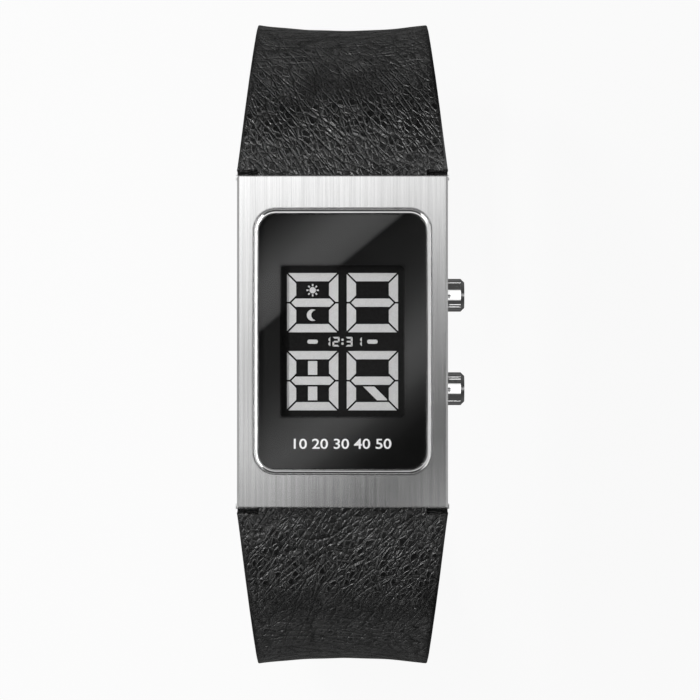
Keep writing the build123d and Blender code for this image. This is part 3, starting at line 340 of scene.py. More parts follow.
def skin(name, points, faces, finish, body, sharp, replaced=(), attributes=()):
    # closed mesh from points in mm: doubles merged, normals outwards, smooth up to an angle
    mesh = bpy.data.meshes.new(name)
    mesh.from_pydata((np.asarray(points) * mm).tolist(), [], faces)
    for key, values in dict(attributes).items():
        values = np.asarray(values, dtype=np.float32)
        layer = mesh.attributes.new(key, "FLOAT_VECTOR" if values.ndim == 2 else "FLOAT", "POINT")
        layer.data.foreach_set("vector" if values.ndim == 2 else "value", values.ravel())
    work = bmesh.new()
    work.from_mesh(mesh)
    bmesh.ops.remove_doubles(work, verts=work.verts, dist=0.0005 * mm)
    bmesh.ops.recalc_face_normals(work, faces=work.faces)
    work.to_mesh(mesh)
    work.free()
    mesh.shade_smooth()
    mesh.set_sharp_from_angle(angle=radians(sharp))
    mesh.materials.append(finishes[finish])
    piece = bpy.data.objects.new(name, mesh)
    bpy.context.scene.collection.objects.link(piece)
    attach(piece, body)
    if replaced:
        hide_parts(*replaced)


def ringFaces(rows, columns):
    # quads of a grid whose rows and columns close on themselves
    row, column = np.meshgrid(np.arange(rows), np.arange(columns), indexing="ij")
    near, far = (row + 1) % rows, (column + 1) % columns
    corners = [row * columns + column, row * columns + far, near * columns + far, near * columns + column]
    return np.stack(corners, axis=-1).reshape(-1, 4).tolist()


def roundedLoop(low, high, radius, arc, side):
    # points and outward normals round a rectangle with rounded corners: arc points in each quarter turn,
    # side steps in each straight run
    low, high = np.asarray(low, float), np.asarray(high, float)
    middles = [(high[0], high[1]), (low[0], high[1]), (low[0], low[1]), (high[0], low[1])]
    points, normals = [], []
    for quarter, corner in enumerate(middles):
        inward = np.array([-1.0 if quarter in (0, 3) else 1.0, -1.0 if quarter < 2 else 1.0])
        centre = np.asarray(corner) + inward * radius
        turn = quarter * pi / 2 + np.linspace(0.0, pi / 2, arc)
        normal = np.column_stack([np.cos(turn), np.sin(turn)])
        points.append(centre + normal * radius)
        normals.append(normal)
    runs, facings = [], []
    for quarter in range(4):
        start, end = points[quarter][-1], points[(quarter + 1) % 4][0]
        share = np.linspace(0.0, 1.0, side + 1)[1:-1, None]
        runs += [points[quarter], start + (end - start) * share]
        facings += [normals[quarter], np.repeat(normals[quarter][-1:], side - 1, axis=0)]
    return np.concatenate(runs), np.concatenate(facings)


# Strap line: straight off the bar, an arc to upright, a short drop, then an arc under the case
strapLine = {"barY": 17.6, "barZ": 4.0, "slope": radians(18.0), "run": 4.0, "turn": 21.85,
             "narrow": 20.0, "flare": 4.56, "flareEnd": 28.0, "bow": 1.6,
             "half": 1.1, "lugHalf": 1.6, "thickTo": 3.0, "thinFrom": 20.0,
             "cup": 0.82, "cupFrom": 5.0, "cupTo": 43.0,
             "skived": 0.42, "skiveFrom": (8.0, 22.0), "skiveTo": (36.0, 46.0)}
shortHalf = {"side": 1.0, "length": 70.0, "drop": 4.0, "curl": 19.4}
longHalf = {"side": -1.0, "length": 105.0, "drop": 8.0, "curl": 27.4}

# How both halves are made, their near end round the spring bar, and the tip of the long one
strapMake = {"lining": 0.7, "glue": 0.03, "turnUp": 4.0, "begin": 1.85, "round": 0.24, "liningRound": 0.25,
             "loop": 1.65, "loopSteps": 16, "swell": (1.9, 0.2), "slot": 64.8, "slotHalf": 1.5,
             "tipSteps": 14, "painted": (0.15, 0.55), "apart": 60.0, "seam": 0.001}
strapNose = {"radius": 1.6, "hollow": 2.0, "lip": radians(38.0), "lipSteps": 30, "fold": (0.16, 0.04),
             "steps": 36}
strapTip = {"radius": 3.4, "start": 95.044, "slope": radians(31.43), "flat": 2.59, "end": 105.0}


def strapPoints(half, x, s, n):
    # s along the strap from the bar, n out of its face: centre line, plus n along its normal
    line = strapLine
    upright = line["run"] + line["turn"] * (pi / 2 - line["slope"])
    curlFrom = upright + half["drop"]
    lean = line["slope"] + (np.clip(s, line["run"], upright) - line["run"]) / line["turn"]
    curl = np.clip(s - curlFrom, 0.0, half["curl"] * pi / 2) / half["curl"]
    flat = np.maximum(s - curlFrom - half["curl"] * pi / 2, 0.0)
    run = np.minimum(s, line["run"])
    fall = np.clip(s, upright, curlFrom) - upright
    y = (line["barY"] + run * cos(line["slope"]) + line["turn"] * (np.sin(lean) - sin(line["slope"]))
         - half["curl"] * (1.0 - np.cos(curl)) - flat)
    z = (line["barZ"] - run * sin(line["slope"]) - line["turn"] * (cos(line["slope"]) - np.cos(lean))
         - fall - half["curl"] * np.sin(curl))
    turned = lean + curl
    return np.stack([x, half["side"] * (y + n * np.sin(turned)), z + n * np.cos(turned)], axis=-1)


def bell(value, low, high):  # smooth step between low and high
    share = np.clip((value - low) / (high - low), 0.0, 1.0)
    return share * share * (3.0 - 2.0 * share)


def fillet(radius, passed):  # height left on a quarter circle after going this far along its foot
    return np.sqrt(np.maximum(radius ** 2 - np.clip(passed, 0.0, radius) ** 2, 0.0))


def strapHalfWidth(s, tip):
    # the flare fades as a power of the way left; a tip narrows through two fillets and a slope
    line = strapLine
    left = np.clip(1.0 - s / line["flareEnd"], 0.0, 1.0)
    wide = (line["narrow"] + line["flare"] * left ** line["bow"]) / 2
    if not tip:
        return wide
    radius, start, slope = tip["radius"], tip["start"], tip["slope"]
    first = wide - radius + fillet(radius, s - start)
    bend = start + radius * sin(slope)
    drop = wide - (radius - radius * cos(slope)) - (s - bend) * sin(slope) / cos(slope)
    nose = tip["flat"] + fillet(radius, s - tip["end"] + radius)
    turned = tip["end"] - radius + radius * sin(slope)
    return np.where(s < bend, first, np.where(s < turned, drop, nose))


def strapHalf(s):
    passed = np.clip((s - strapLine["thickTo"]) / (strapLine["thinFrom"] - strapLine["thickTo"]), 0.0, 1.0)
    padding = (strapLine["lugHalf"] - strapLine["half"]) * (1.0 + np.cos(pi * passed)) / 2
    return strapLine["half"] + padding


def strapTop(s):  # outer face: half the thickness, skived thinner where the strap bends most
    start, end = strapLine["skiveFrom"], strapLine["skiveTo"]
    return strapHalf(s) - strapLine["skived"] * (bell(s, *start) - bell(s, *end))


def strapCup(s):
    passed = np.clip((s - strapLine["cupFrom"]) / (strapLine["cupTo"] - strapLine["cupFrom"]), 0.0, 1.0)
    return strapLine["cup"] * np.sin(pi * passed) ** 2


# Unevenness of the leather: two crossing waves with their rates along and across, none near the bar
ripple = {"height": 0.035, "waves": [(0.9, 0.5, 0.0), (0.37, -0.8, 1.0)], "from": (4.0, 9.0)}


def ripples(x, s):
    first, second = [np.sin(along * s + aside * x + shift) for along, aside, shift in ripple["waves"]]
    return ripple["height"] * first * second * bell(s, *ripple["from"])


# Columns across: a fine middle for the holes, an even spread, then the rims crowded to the edges.
# The middle ones keep to the tongue near the bar and take a share of the width beyond it.
across = {"reach": 8.0, "step": 0.5, "fineReach": 2.0, "fineStep": 0.25, "tongue": 9.6, "share": 0.8,
          "widen": (3.0, 8.0)}
middle = np.concatenate([
    np.arange(-across["reach"], -across["fineReach"], across["step"]),
    np.arange(-across["fineReach"], across["fineReach"], across["fineStep"]),
    np.arange(across["fineReach"], across["reach"] + across["step"] / 2, across["step"])]) / across["reach"]
rim = np.array([0.0, 0.3, 0.6, 0.82, 0.87, 0.92, 0.96, 0.985, 1.0])
columns = 2 * len(rim) + len(middle)
inner, outer = slice(len(rim), len(rim) + len(middle)), slice(len(rim) + len(middle), columns)

# Rows along: evenly spread, and a square of cells of the given reach round each hole
rowStep = {"plain": 0.75, "tail": 0.6, "least": 0.0008}
holes = {"radius": 1.0, "reach": 2.0, "first": 83.0, "step": 6.5, "count": 7, "rows": 17, "gapRows": 6,
         "core": 0.375}
holePlaces = holes["first"] - holes["step"] * np.arange(holes["count"])
holesFrom = holePlaces[-1] - holes["reach"]
holesTo = holePlaces[0] + holes["step"] - holes["reach"]


def stations(begin, end, pierced, extra):
    # places of the rows along the strap, the far end first
    reach, step = holes["reach"], rowStep["plain"]
    stops = [np.arange(begin, holesFrom, step)]
    if pierced:
        for place in holePlaces[::-1]:
            stops += [np.linspace(place - reach, place + reach, holes["rows"]),
                      np.linspace(place + reach, place + holes["step"] - reach, holes["gapRows"])]
        stops += [np.arange(holesTo, end, rowStep["tail"])]
    else:
        stops += [np.arange(holesFrom, end, step)]
    stops = np.concatenate(stops + [np.array(extra + [begin, end])])
    stops = np.unique(np.round(stops[(stops >= begin) & (stops <= end)], 4))
    return stops[np.append(np.diff(stops) > rowStep["least"], True)][::-1]


def noseRows(nose, begin):
    # rows round the near end: shoulders with an edge hollowed round the ears, and between them, in the
    # inner columns, the tongue that goes round the bar
    deep, hollow = nose["radius"], nose["hollow"]
    total = 2 * begin + pi * deep
    way = np.linspace(0.0, total, nose["steps"] + 1)[1:-1]
    turn = np.clip((way - begin) / deep, 0.0, pi)
    tongueS = np.maximum(begin - way, 0.0) - deep * np.sin(turn) + np.maximum(way - total + begin, 0.0)
    tongueN = deep * np.cos(turn)
    turn = np.linspace(nose["lip"], 0.0, nose["lipSteps"])
    lineS = np.concatenate([[begin, begin - nose["fold"][0]], hollow * np.cos(turn), [begin]])
    lineN = np.concatenate([[deep, deep - nose["fold"][1]], hollow * np.sin(turn), [-deep]])
    gone = np.append(0.0, np.cumsum(np.hypot(np.diff(lineS), np.diff(lineN))))
    way = np.linspace(0.0, gone[-1], nose["steps"] + 1)[1:-1]
    s = np.repeat(np.interp(way, gone, lineS)[:, None], columns, axis=1)
    n = np.repeat(np.interp(way, gone, lineN)[:, None], columns, axis=1)
    s[:, inner], n[:, inner] = tongueS[:, None], tongueN[:, None]
    return s, n


def openHoles(x, s):
    # squares of cells round each hole become rings: the core is drawn out to the hole's radius
    for place in holePlaces:
        a, b = x / holes["reach"], (s - place) / holes["reach"]
        reach = np.maximum(np.abs(a), np.abs(b))
        inside = (reach < 0.999) & (reach > 0.3)
        ring = np.clip((reach - holes["core"]) / (1.0 - holes["core"]), 0.0, 1.0)
        size = np.hypot(a, b) + 1e-9
        stretch = (1.0 - ring) * holes["radius"] / (holes["reach"] * size) + ring
        x = np.where(inside, x * stretch, x)
        s = np.where(inside, place + (s - place) * stretch, s)
    return x, s


def openCells(x, s, pierced, slotFrom):
    # true for each cell of the grid that a hole or the tang's slot takes
    after = np.roll(np.arange(len(s)), -1)
    cellS = (s + s[after])[:, :-1] / 2 + np.diff(s, axis=1) / 2
    cellX = (x[:, :-1] + x[:, 1:] + x[after][:, :-1] + x[after][:, 1:]) / 4
    cut = np.zeros(cellX.shape, bool)
    if pierced:
        for place in holePlaces:
            cut |= np.hypot(cellX, cellS - place) < 0.9 * holes["radius"]
    if slotFrom:
        cut |= (np.abs(cellX) < strapMake["slotHalf"]) & (cellS > slotFrom)
    return cut


def layerFaces(cut, count, near, far):
    # count rows above, near rows round the near end, count rows below, far rows round the far end
    rows = len(cut)
    index = np.arange(rows * columns).reshape(rows, columns)
    after = np.roll(np.arange(rows), -1)
    pair = (2 * count + near - 1 - np.arange(rows)) % rows  # the row on the other side of each row
    joins = [inner.start - 1, inner.stop - 1]
    keep = np.ones(cut.shape, bool)
    keep[:, joins] = False
    keep[count - 1:count + near, joins] = near > 0
    row, column = np.nonzero(keep & ~cut)
    faces = [np.column_stack([index[row, column], index[row, column + 1],
                              index[after[row], column + 1], index[after[row], column]])]
    # walls of holes and slot, joining the upper rows to the ones below them
    upper = np.zeros(rows, bool)
    upper[:count] = True
    upper[2 * count + near + far // 2:] = True
    row, column = np.nonzero((cut[:, 1:] != cut[:, :-1]) & upper[:, None] & upper[after][:, None])
    column, following = column + 1, after[row]
    faces.append(np.column_stack([index[row, column], index[following, column],
                                  index[pair[following], column], index[pair[row], column]]))
    row, column = np.nonzero((cut != np.roll(cut, 1, axis=0)) & upper[:, None])
    faces.append(np.column_stack([index[row, column], index[row, column + 1],
                                  index[pair[row], column + 1], index[pair[row], column]]))
    faces = np.concatenate(faces).tolist()
    # walls along the two edges, and round the near end one face with many corners
    last = count - 1
    span = np.arange(-(far // 2), last) % rows
    following = after[span]
    for side in (0, columns - 1):
        faces += np.column_stack([index[span, side], index[following, side],
                                  index[pair[following], side], index[pair[span], side]]).tolist()
        if near:
            faces.append(index[last:int(pair[last]) + 1, side].tolist())
    return faces


def layer(name, half, low, high, begin, end, nose=None, loop=0.0, tip=None, slotFrom=None, pierced=False,
          topRound=0.0, lowRound=0.0, finish="black_leather", body="case", replaced=()):
    # rows run along the top from the far end, round the near end and back below; columns run across
    extra = [slotFrom] if slotFrom else []
    if tip:
        turn = np.linspace(tip["slope"], pi / 2, strapMake["tipSteps"])
        extra += (tip["end"] - tip["radius"] + tip["radius"] * np.sin(turn)).tolist()
    if nose:
        extra += nose["seams"]
    tops = np.repeat(stations(begin, end, pierced, extra)[:, None], columns, axis=1)
    nearS, nearN = noseRows(nose, begin) if nose else (np.zeros((0, columns)),) * 2
    farTurn = np.linspace(-pi / 2, pi / 2, strapMake["loopSteps"])[1:-1] if loop else np.zeros(0)
    farS, farN = [np.repeat(line[:, None], columns, axis=1)  # round the buckle's bar
                  for line in (end + loop * np.cos(farTurn), loop * np.sin(farTurn))]
    s = np.concatenate([tops, nearS, tops[::-1], farS])
    widest = np.minimum(s, end)
    halfWide = strapHalfWidth(np.maximum(widest, 0.0) if nose else widest, tip)
    share = bell(widest, *across["widen"])
    tongue = across["tongue"] * (1.0 - share) + across["share"] * halfWide * share
    x = np.empty_like(s)
    x[:, inner] = middle * tongue[:, inner]
    x[:, outer] = tongue[:, outer] + rim * (halfWide[:, outer] - tongue[:, outer])
    x[:, :len(rim)] = -x[:, outer][:, ::-1]

    fromEdge = np.maximum(halfWide - np.abs(x), 0.0)
    if tip:
        fromEdge = np.minimum(fromEdge, np.maximum(end - s, 0.0))
    cup = strapCup(s) * (x / halfWide) ** 2
    if pierced:
        x, s = openHoles(x, s)
    nearLoop = bell(s, end - strapMake["swell"][0], end - strapMake["swell"][1])
    swell = (loop - strapLine["half"]) * nearLoop if loop else 0.0
    topDrop, lowDrop = [radius - fillet(radius, radius - fromEdge) for radius in (topRound, lowRound)]
    count, near = len(tops), len(nearN)
    n = np.concatenate([(high(s) + swell + cup + ripples(x, s) - topDrop)[:count], nearN,
                        (low(s) - swell + cup + lowDrop)[count + near:2 * count + near], farN])

    faces = layerFaces(openCells(x, s, pierced, slotFrom), count, near, len(farTurn))
    points = strapPoints(half, x, s, n).reshape(-1, 3)
    # laid flat for the grain, the long half well away from the short one
    flat = np.stack([x + strapMake["apart"] * (half["side"] < 0), s, n], axis=-1).reshape(-1, 3)
    painted = 1.0 - bell(fromEdge, *strapMake["painted"])
    used = np.unique(np.concatenate([np.ravel(face) for face in faces]))
    order = np.full(len(points), -1)
    order[used] = np.arange(len(used))
    faces = [[int(order[v]) for v in face] for face in faces]
    skin(name, points[used], faces, finish, body, 50.0, replaced,
         {"hide": flat[used], "edge": painted.ravel()[used]})


# The lining lies in a recess of the outer leather; two rows a seam apart make the step at each end
liningFrom, shortStop = strapMake["turnUp"], shortHalf["length"] - strapMake["turnUp"]
recessFrom, recessTo = liningFrom - strapMake["glue"], shortStop + strapMake["glue"]
stepRows = [[place, place + strapMake["seam"]] for place in (recessFrom, recessTo)]


def outerUnder(s, stop):  # underside of the outer leather: full depth where no lining is
    lined = (s > recessFrom + strapMake["seam"] / 2) & (s < stop + strapMake["seam"] / 2)
    return -strapHalf(s) + np.where(lined, strapMake["lining"] + strapMake["glue"], 0.0)


def liningUnder(s):
    return -strapHalf(s)


def liningTop(s):
    return strapMake["lining"] - strapHalf(s)


layer("shortStrapLeather", shortHalf, lambda s: outerUnder(s, recessTo), strapTop, strapMake["begin"],
      shortHalf["length"], dict(strapNose, seams=stepRows[0] + stepRows[1]), loop=strapMake["loop"],
      slotFrom=strapMake["slot"], topRound=strapMake["round"], body="short_strap",
      replaced=["short_strap_outer"])
layer("longStrapLeather", longHalf, lambda s: outerUnder(s, 2 * longHalf["length"]), strapTop,
      strapMake["begin"], longHalf["length"], dict(strapNose, seams=stepRows[0]), tip=strapTip,
      pierced=True, topRound=strapMake["round"], body="long_strap", replaced=["long_strap_outer"])
layer("shortStrapLining", shortHalf, liningUnder, liningTop, liningFrom, shortStop,
      slotFrom=strapMake["slot"], lowRound=strapMake["liningRound"], finish="strap_lining",
      body="short_strap", replaced=["short_strap_lining"])
layer("longStrapLining", longHalf, liningUnder, liningTop, liningFrom, longHalf["length"], tip=strapTip,
      pierced=True, lowRound=strapMake["liningRound"], finish="strap_lining", body="long_strap",
      replaced=["long_strap_lining"])
print("strap: four layers")

# Keepers: a soft-cornered band section carried round a rounded rectangle, then bent with the strap
keepers = {"length": 5.0, "wall": 0.8, "reach": 10.15, "low": -1.25, "high": 3.6, "corner": 0.2,
           "steps": 40, "flatness": (0.22, 0.45), "painted": (0.35, 0.1)}


def keeper(name, at, body, replaced):
    path, outward = roundedLoop((-keepers["reach"], keepers["low"]), (keepers["reach"], keepers["high"]),
                                keepers["corner"], 8, 30)
    turn = np.linspace(0.0, 2 * pi, keepers["steps"], endpoint=False)
    # a box with soft corners: sign times a small power of sine and cosine
    alongPower, outPower = keepers["flatness"]
    along = keepers["length"] / 2 * np.sign(np.cos(turn)) * np.abs(np.cos(turn)) ** alongPower
    out = keepers["wall"] / 2 * (1.0 + np.sign(np.sin(turn)) * np.abs(np.sin(turn)) ** outPower)
    shape = (len(path), len(turn))
    x = path[:, 0:1] + outward[:, 0:1] * out
    n = path[:, 1:2] + outward[:, 1:2] * out
    s = np.broadcast_to(at + along, shape)
    start, end = [keepers["length"] / 2 - inset for inset in keepers["painted"]]
    painted = np.broadcast_to(bell(np.abs(along), start, end), shape)
    way = np.cumsum(np.hypot(*np.gradient(path, axis=0).T))
    flat = np.stack([np.broadcast_to(way[:, None], shape), s, np.broadcast_to(out, shape)], axis=-1)
    skin(name, strapPoints(shortHalf, x, s, n).reshape(-1, 3), ringFaces(*shape), "black_leather", body,
         60.0, [replaced], {"hide": flat.reshape(-1, 3), "edge": painted.ravel()})


keeper("fixedKeeperBand", 61.0, "short_strap", "fixed_keeper")
keeper("slidingKeeperBand", 51.0, "sliding_keeper", "sliding_keeper")
print("keepers: two bands")

# Ring round the glass: a domed band falling outwards, carried round the opening
band = {"inner": (9.635, 14.62), "corner": 2.05, "width": 0.55,
        "profile": [(0.0, 0.0), (0.0, -0.03), (0.02, -0.004), (0.06, 0.0), (0.13, -0.012), (0.20, -0.036),
                    (0.27, -0.070), (0.34, -0.112), (0.40, -0.160), (0.45, -0.215), (0.50, -0.285),
                    (0.53, -0.340), (0.55, -0.400)]}
ringLow, ringHigh = [np.asarray(corner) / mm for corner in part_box("crystal_ring")]
path, outward = roundedLoop((-band["inner"][0], -band["inner"][1]), band["inner"], band["corner"], 24, 40)
profile = np.array([(0.0, ringLow[2])] + [(out, ringHigh[2] + z) for out, z in band["profile"][1:]]
                   + [(band["width"], ringLow[2])])
shape = (len(path), len(profile))
points = np.stack([path[:, 0:1] + outward[:, 0:1] * profile[:, 0],
                   path[:, 1:2] + outward[:, 1:2] * profile[:, 0],
                   np.broadcast_to(profile[:, 1], shape)], axis=-1).reshape(-1, 3)
skin("glassRing", points, ringFaces(*shape), "polished_steel", "case", 40.0, ["crystal_ring"])

# Flat lands on the ends of the ears, in front of the plate: a rounded outline in Y and Z, drawn along X
land = {"x": (9.9, 12.2), "y": (18.5, 19.10), "z": (4.2, 4.75), "round": 0.05}
outline, outward = roundedLoop(*zip(land["y"], land["z"]), land["round"], 4, 2)
count = len(outline)
loop = np.arange(count)
walls = np.column_stack([loop, (loop + 1) % count, (loop + 1) % count + count, loop + count]).tolist()
for side, sideName in ((-1, "Left"), (1, "Right")):
    for end, endName in ((-1, "Lower"), (1, "Upper")):
        spots = np.concatenate([np.column_stack([np.full(count, x), end * outline[:, 0], outline[:, 1]])
                                for x in sorted(side * value for value in land["x"])])
        skin("earLand" + endName + sideName, spots, walls + [loop.tolist(), (loop + count).tolist()],
             "brushed_case", "case", 50.0)

# Numerals printed under the glass, where the name would be
numerals = {"words": "10 20 30 40 50", "wide": 11.1, "high": 1.16, "y": -11.64, "z": 7.163, "thick": 0.012,
            "bolder": 0.012, "steps": 6}
curve = bpy.data.curves.new("glassNumerals", "FONT")
curve.body = numerals["words"]
curve.offset = numerals["bolder"]
curve.extrude = 0.01  # any depth: it is scaled to the thickness below
curve.resolution_u = numerals["steps"]
draft = bpy.data.objects.new("numeralDraft", curve)
bpy.context.scene.collection.objects.link(draft)
bpy.context.view_layer.update()
letters = bpy.data.meshes.new_from_object(draft)
bpy.data.objects.remove(draft)
spots = np.empty(len(letters.vertices) * 3)
letters.vertices.foreach_get("co", spots)
spots = spots.reshape(-1, 3)
lowSpot, highSpot = spots.min(axis=0), spots.max(axis=0)
target = np.array([numerals["wide"], numerals["high"], numerals["thick"]])
spots = (spots - (lowSpot + highSpot) / 2) / (highSpot - lowSpot) * target
spots += np.array([0.0, numerals["y"], numerals["z"] + numerals["thick"] / 2])
faces = [list(face.vertices) for face in letters.polygons]
skin("glassNumerals", spots, faces, "white_ink", "case", 30.0)
print("ring, ear lands and numerals")

# Floor: pale, nearly plain white to the camera and darker in mirrors
floor = {"size": 4000.0, "z": -54.56, "pale": (grey(0.80), grey(0.82)), "speck": 30.0,
         "dim": grey(0.10), "dimShare": 0.85, "whiteShare": 0.93}
ground = Finish("floor_paper")
seen, mirrored = [ground.node("LightPath", out=name) for name in ("Is Camera Ray", "Is Glossy Ray")]
speck = ground.noise(ground.place(), floor["speck"], 2.0)
paper = ground.node("BsdfDiffuse", (), {0: ground.tint(speck, *floor["pale"])})
white = ground.node("Emission", (), {0: grey(1.0), 1: 1.0})
dim = ground.node("BsdfDiffuse", (), {0: floor["dim"]})
paper = ground.node("MixShader", (), {0: mirrored * floor["dimShare"], 1: paper, 2: dim})
finishes["floor_paper"] = ground.close(ground.node(
    "MixShader", (), {0: seen * floor["whiteShare"], 1: paper, 2: white}))
mesh = bpy.data.meshes.new("floor")
corners = [(x * floor["size"] / 2, y * floor["size"] / 2, floor["z"])
           for x, y in ((-1, -1), (1, -1), (1, 1), (-1, 1))]
mesh.from_pydata((np.array(corners) * mm).tolist(), [], [[0, 1, 2, 3]])
mesh.materials.append(finishes["floor_paper"])
stage = bpy.data.objects.new("floor", mesh)
bpy.context.scene.collection.objects.link(stage)

# World: white behind; for gloss a dark port overhead, a bright collar round it, a dimmer wall that is
# brighter to the left and right, and a foot that pales towards the north; an even fill for the rest.
# Each span is of one part of the direction: up, sideways or north.
tent = {"fill": 0.22, "port": 0.004, "portSpan": (0.915, 0.966), "collar": 1.1, "collarSpan": (0.77, 0.85),
        "wall": 0.07, "sideWall": 0.75, "sideSpan": (0.42, 0.80), "wallSpan": (-0.30, 0.10),
        "dark": 0.20, "open": 0.90, "northSpan": (-0.5, 0.7), "lean": 0.4}
world = bpy.context.scene.world or bpy.data.worlds.new("studio")
bpy.context.scene.world = world
sky = Finish("studio", world)
way = sky.node("TexCoord", out="Generated")
east, north, up = [sky.node("SeparateXYZ", (), {0: way}, axis) for axis in range(3)]
foot = (north - east * tent["lean"]).ease(*tent["northSpan"], tent["dark"], tent["open"])
aside = sky.node("Math", {"operation": "ABSOLUTE"}, {0: east})
wall = aside.ease(*tent["sideSpan"], tent["wall"], tent["sideWall"])
low = foot + (wall - foot) * up.ease(*tent["wallSpan"])
high = low + (tent["collar"] - low) * up.ease(*tent["collarSpan"])
glow = high + (tent["port"] - high) * up.ease(*tent["portSpan"])
glossy, passed, direct, bounces = [sky.node("LightPath", out=name) for name in (
    "Is Glossy Ray", "Is Transmission Ray", "Is Camera Ray", "Diffuse Depth")]
gloss = glossy.most(passed) * (1.0 - bounces.least(1.0))
strength = tent["fill"] + (glow - tent["fill"]) * gloss
strength = strength + (1.0 - strength) * direct
sky.close(sky.node("Background", (), {0: grey(1.0), 1: strength}))


# Lamps: rectangles given by middle, aim, size and brightness; a grade sets shades along one direction,
# as stops of distance in mm, and may be dark inside a window
def lamp(name, middle, aim, size, bright, turn=0.0, grade=None, window=None):
    light = bpy.data.lights.new(name, "AREA")
    light.shape, light.size, light.size_y = "RECTANGLE", size[0] * mm, size[1] * mm
    light.energy = pi * size[0] * size[1] * mm * mm
    shade = Finish(name, light)
    strength = bright
    if grade:
        direction, stops = grade
        first, last = stops[0][0], stops[-1][0]
        spot = shade.node("VectorMath", {"operation": "SCALE"},
                          {0: shade.node("NewGeometry", out="Position"), 3: 1.0 / mm})
        along = shade.node("VectorMath", {"operation": "DOT_PRODUCT"}, {0: spot, 1: direction + (0.0,)}, 1)
        places = [((place - first) / (last - first), value) for place, value in stops]
        share = (along - first) / (last - first)
        strength = shade.node("ValToRGB", {"stops": places}, {0: share}) * bright
        if window:
            inside, soft = 1.0, window["soft"]
            for axis, (near, far) in enumerate(window["span"]):
                at = shade.node("SeparateXYZ", (), {0: spot}, axis)
                beyond = at.ease(far - soft, far + soft)
                inside = at.ease(near - soft, near + soft) * (1.0 - beyond) * inside
            strength = strength * (1.0 - inside * window["dark"])
    shade.close(shade.node("Emission", (), {0: grey(1.0), 1: strength}))
    holder = bpy.data.objects.new(name, light)
    holder.visible_camera = False
    back = (Vector(middle) - Vector(aim)).normalized()
    side = Vector((cos(turn), sin(turn), 0.0))
    side = (side - back * side.dot(back)).normalized()
    axes = Matrix((side, back.cross(side), back)).transposed()
    holder.matrix_world = Matrix.Translation(Vector(middle) * mm) @ axes.to_4x4()
    bpy.context.scene.collection.objects.link(holder)


centre = (0.0, 0.0, 0.0)
key = {"from": (-0.50, 0.36, 1.0), "away": 520.0, "size": (60.0, 60.0), "bright": 40.0}
lamp("key", Vector(key["from"]).normalized() * key["away"], centre, key["size"], key["bright"])
lamp("sideStrip", (-66.0, 4.0, 80.0), centre, (5.0, 160.0), 32.0, pi)
for end in (-1, 1):  # low strips beyond the bends of the strap
    lamp("lowStrip" + str(end), (-30.0, end * 125.0, -12.0), (0.0, end * 36.0, -8.0), (130.0, 5.0), 3.0)

# Cards overhead, each where one part of the front mirrors it: spans in X and Y, height, brightness and
# grade. The glass sees streaks that run up to the right, with no streak over the display; distances are
# measured across them, from the edge of the upper one.
streak = {"turn": radians(39.3), "edge": (8.46, 20.1), "spread": 1.25,
          "stops": [(-26.0, 0.004), (-21.0, 0.006), (-19.5, 0.04), (-18.0, 0.16), (-16.5, 0.36),
                    (-15.0, 0.74), (-12.8, 0.97), (-10.5, 0.72), (-9.0, 0.49), (-7.5, 0.31), (-6.0, 0.20),
                    (-4.0, 0.12), (-0.25, 0.05), (0.25, 0.80), (2.0, 1.0), (4.0, 0.98), (5.3, 0.68),
                    (6.8, 0.38), (8.3, 0.14), (10.5, 0.01), (13.0, 0.004)]}
acrossStreak = (-sin(streak["turn"]), cos(streak["turn"]))
edgeAt = float(np.dot(acrossStreak, streak["edge"]))
streakStops = [(edgeAt + streak["spread"] * place, value) for place, value in streak["stops"]]
alongX, alongY = (1.0, 0.0), (0.0, 1.0)
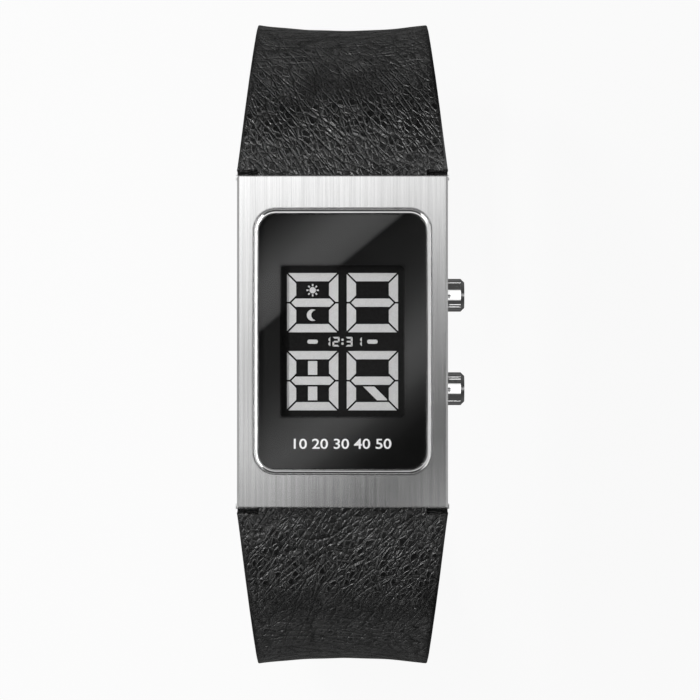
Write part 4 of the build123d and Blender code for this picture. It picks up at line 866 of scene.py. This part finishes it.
cards = {
    "glassCard": ((-12.1, 12.1), (-16.5, 20.4), 158.0, 1.48, (acrossStreak, streakStops)),
    "topCard": ((-50.0, 50.0), (20.8, 60.0), 157.0, 1.55, (alongX, [
        (-50.0, 0.7), (-16.0, 0.97), (-9.0, 0.92), (0.0, 0.86), (15.0, 0.72), (50.0, 0.5)])),
    "leftCard": ((-50.0, -12.4), (-40.0, 20.8), 157.0, 1.35, (alongY, [
        (-40.0, 0.2), (-20.0, 0.38), (-14.0, 0.66), (-5.0, 0.80), (8.0, 0.88), (20.8, 0.98)])),
    "rightCard": ((12.4, 30.0), (-17.0, 20.8), 157.0, 1.0, (alongY, [
        (-17.0, 0.0), (-9.0, 0.0), (3.0, 0.16), (15.0, 0.88), (20.8, 0.98)])),
    "footCard": ((-12.4, 30.0), (-40.0, -17.0), 157.0, 1.0, (alongX, [
        (-12.4, 0.46), (-8.0, 0.34), (-4.0, 0.14), (0.0, 0.02), (8.0, 0.01), (12.0, 0.50), (16.0, 0.60),
        (30.0, 0.3)])),
}
display = {"span": ((-8.9, 8.9), (-8.9, 12.9)), "dark": 0.97, "soft": 0.3}
for name, (spanX, spanY, height, bright, grade) in cards.items():
    x, y = sum(spanX) / 2, sum(spanY) / 2
    lamp(name, (x, y, height), (x, y, 0.0), (spanX[1] - spanX[0], spanY[1] - spanY[0]), bright, 0.0, grade,
         display if name == "glassCard" else None)

# Pushers: a small roof over each and one wall beyond them
roof = {"x": 14.6, "back": 0.1, "z": 8.4, "size": (4.4, 3.4), "bright": 1.35}
for name in ("upper_pusher_cap", "lower_pusher_cap"):
    capLow, capHigh = [np.asarray(corner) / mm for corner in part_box(name)]
    y = (capLow[1] + capHigh[1]) / 2 - roof["back"]
    lamp(name + "_roof", (roof["x"], y, roof["z"]), (roof["x"], y, 0.0), roof["size"], roof["bright"])
lamp("pusherWall", (19.0, 24.0, 10.0), (14.0, 2.0, 4.0), (8.0, 36.0), 1.1)
print("lamps and world")

# Camera: straight above, a little below the middle of the picture
view = {"place": (0.0, -7.9, 608.0), "aim": (0.85, -0.97, 8.0), "lens": 271.36, "sensor": 36.0,
        "clip": (0.01, 20.0)}
shot = bpy.data.cameras.new("camera")
shot.lens, shot.sensor_width = view["lens"], view["sensor"]
shot.clip_start, shot.clip_end = view["clip"]
camera = bpy.data.objects.new("camera", shot)
ahead = (Vector(view["aim"]) - Vector(view["place"])).normalized()
right = ahead.cross(Vector((0.0, 1.0, 0.0))).normalized()
camera.matrix_world = (Matrix.Translation(Vector(view["place"]) * mm)
                       @ Matrix((right, right.cross(ahead), -ahead)).transposed().to_4x4())
bpy.context.scene.collection.objects.link(camera)
bpy.context.scene.camera = camera
bpy.context.scene.view_settings.view_transform = "Standard"
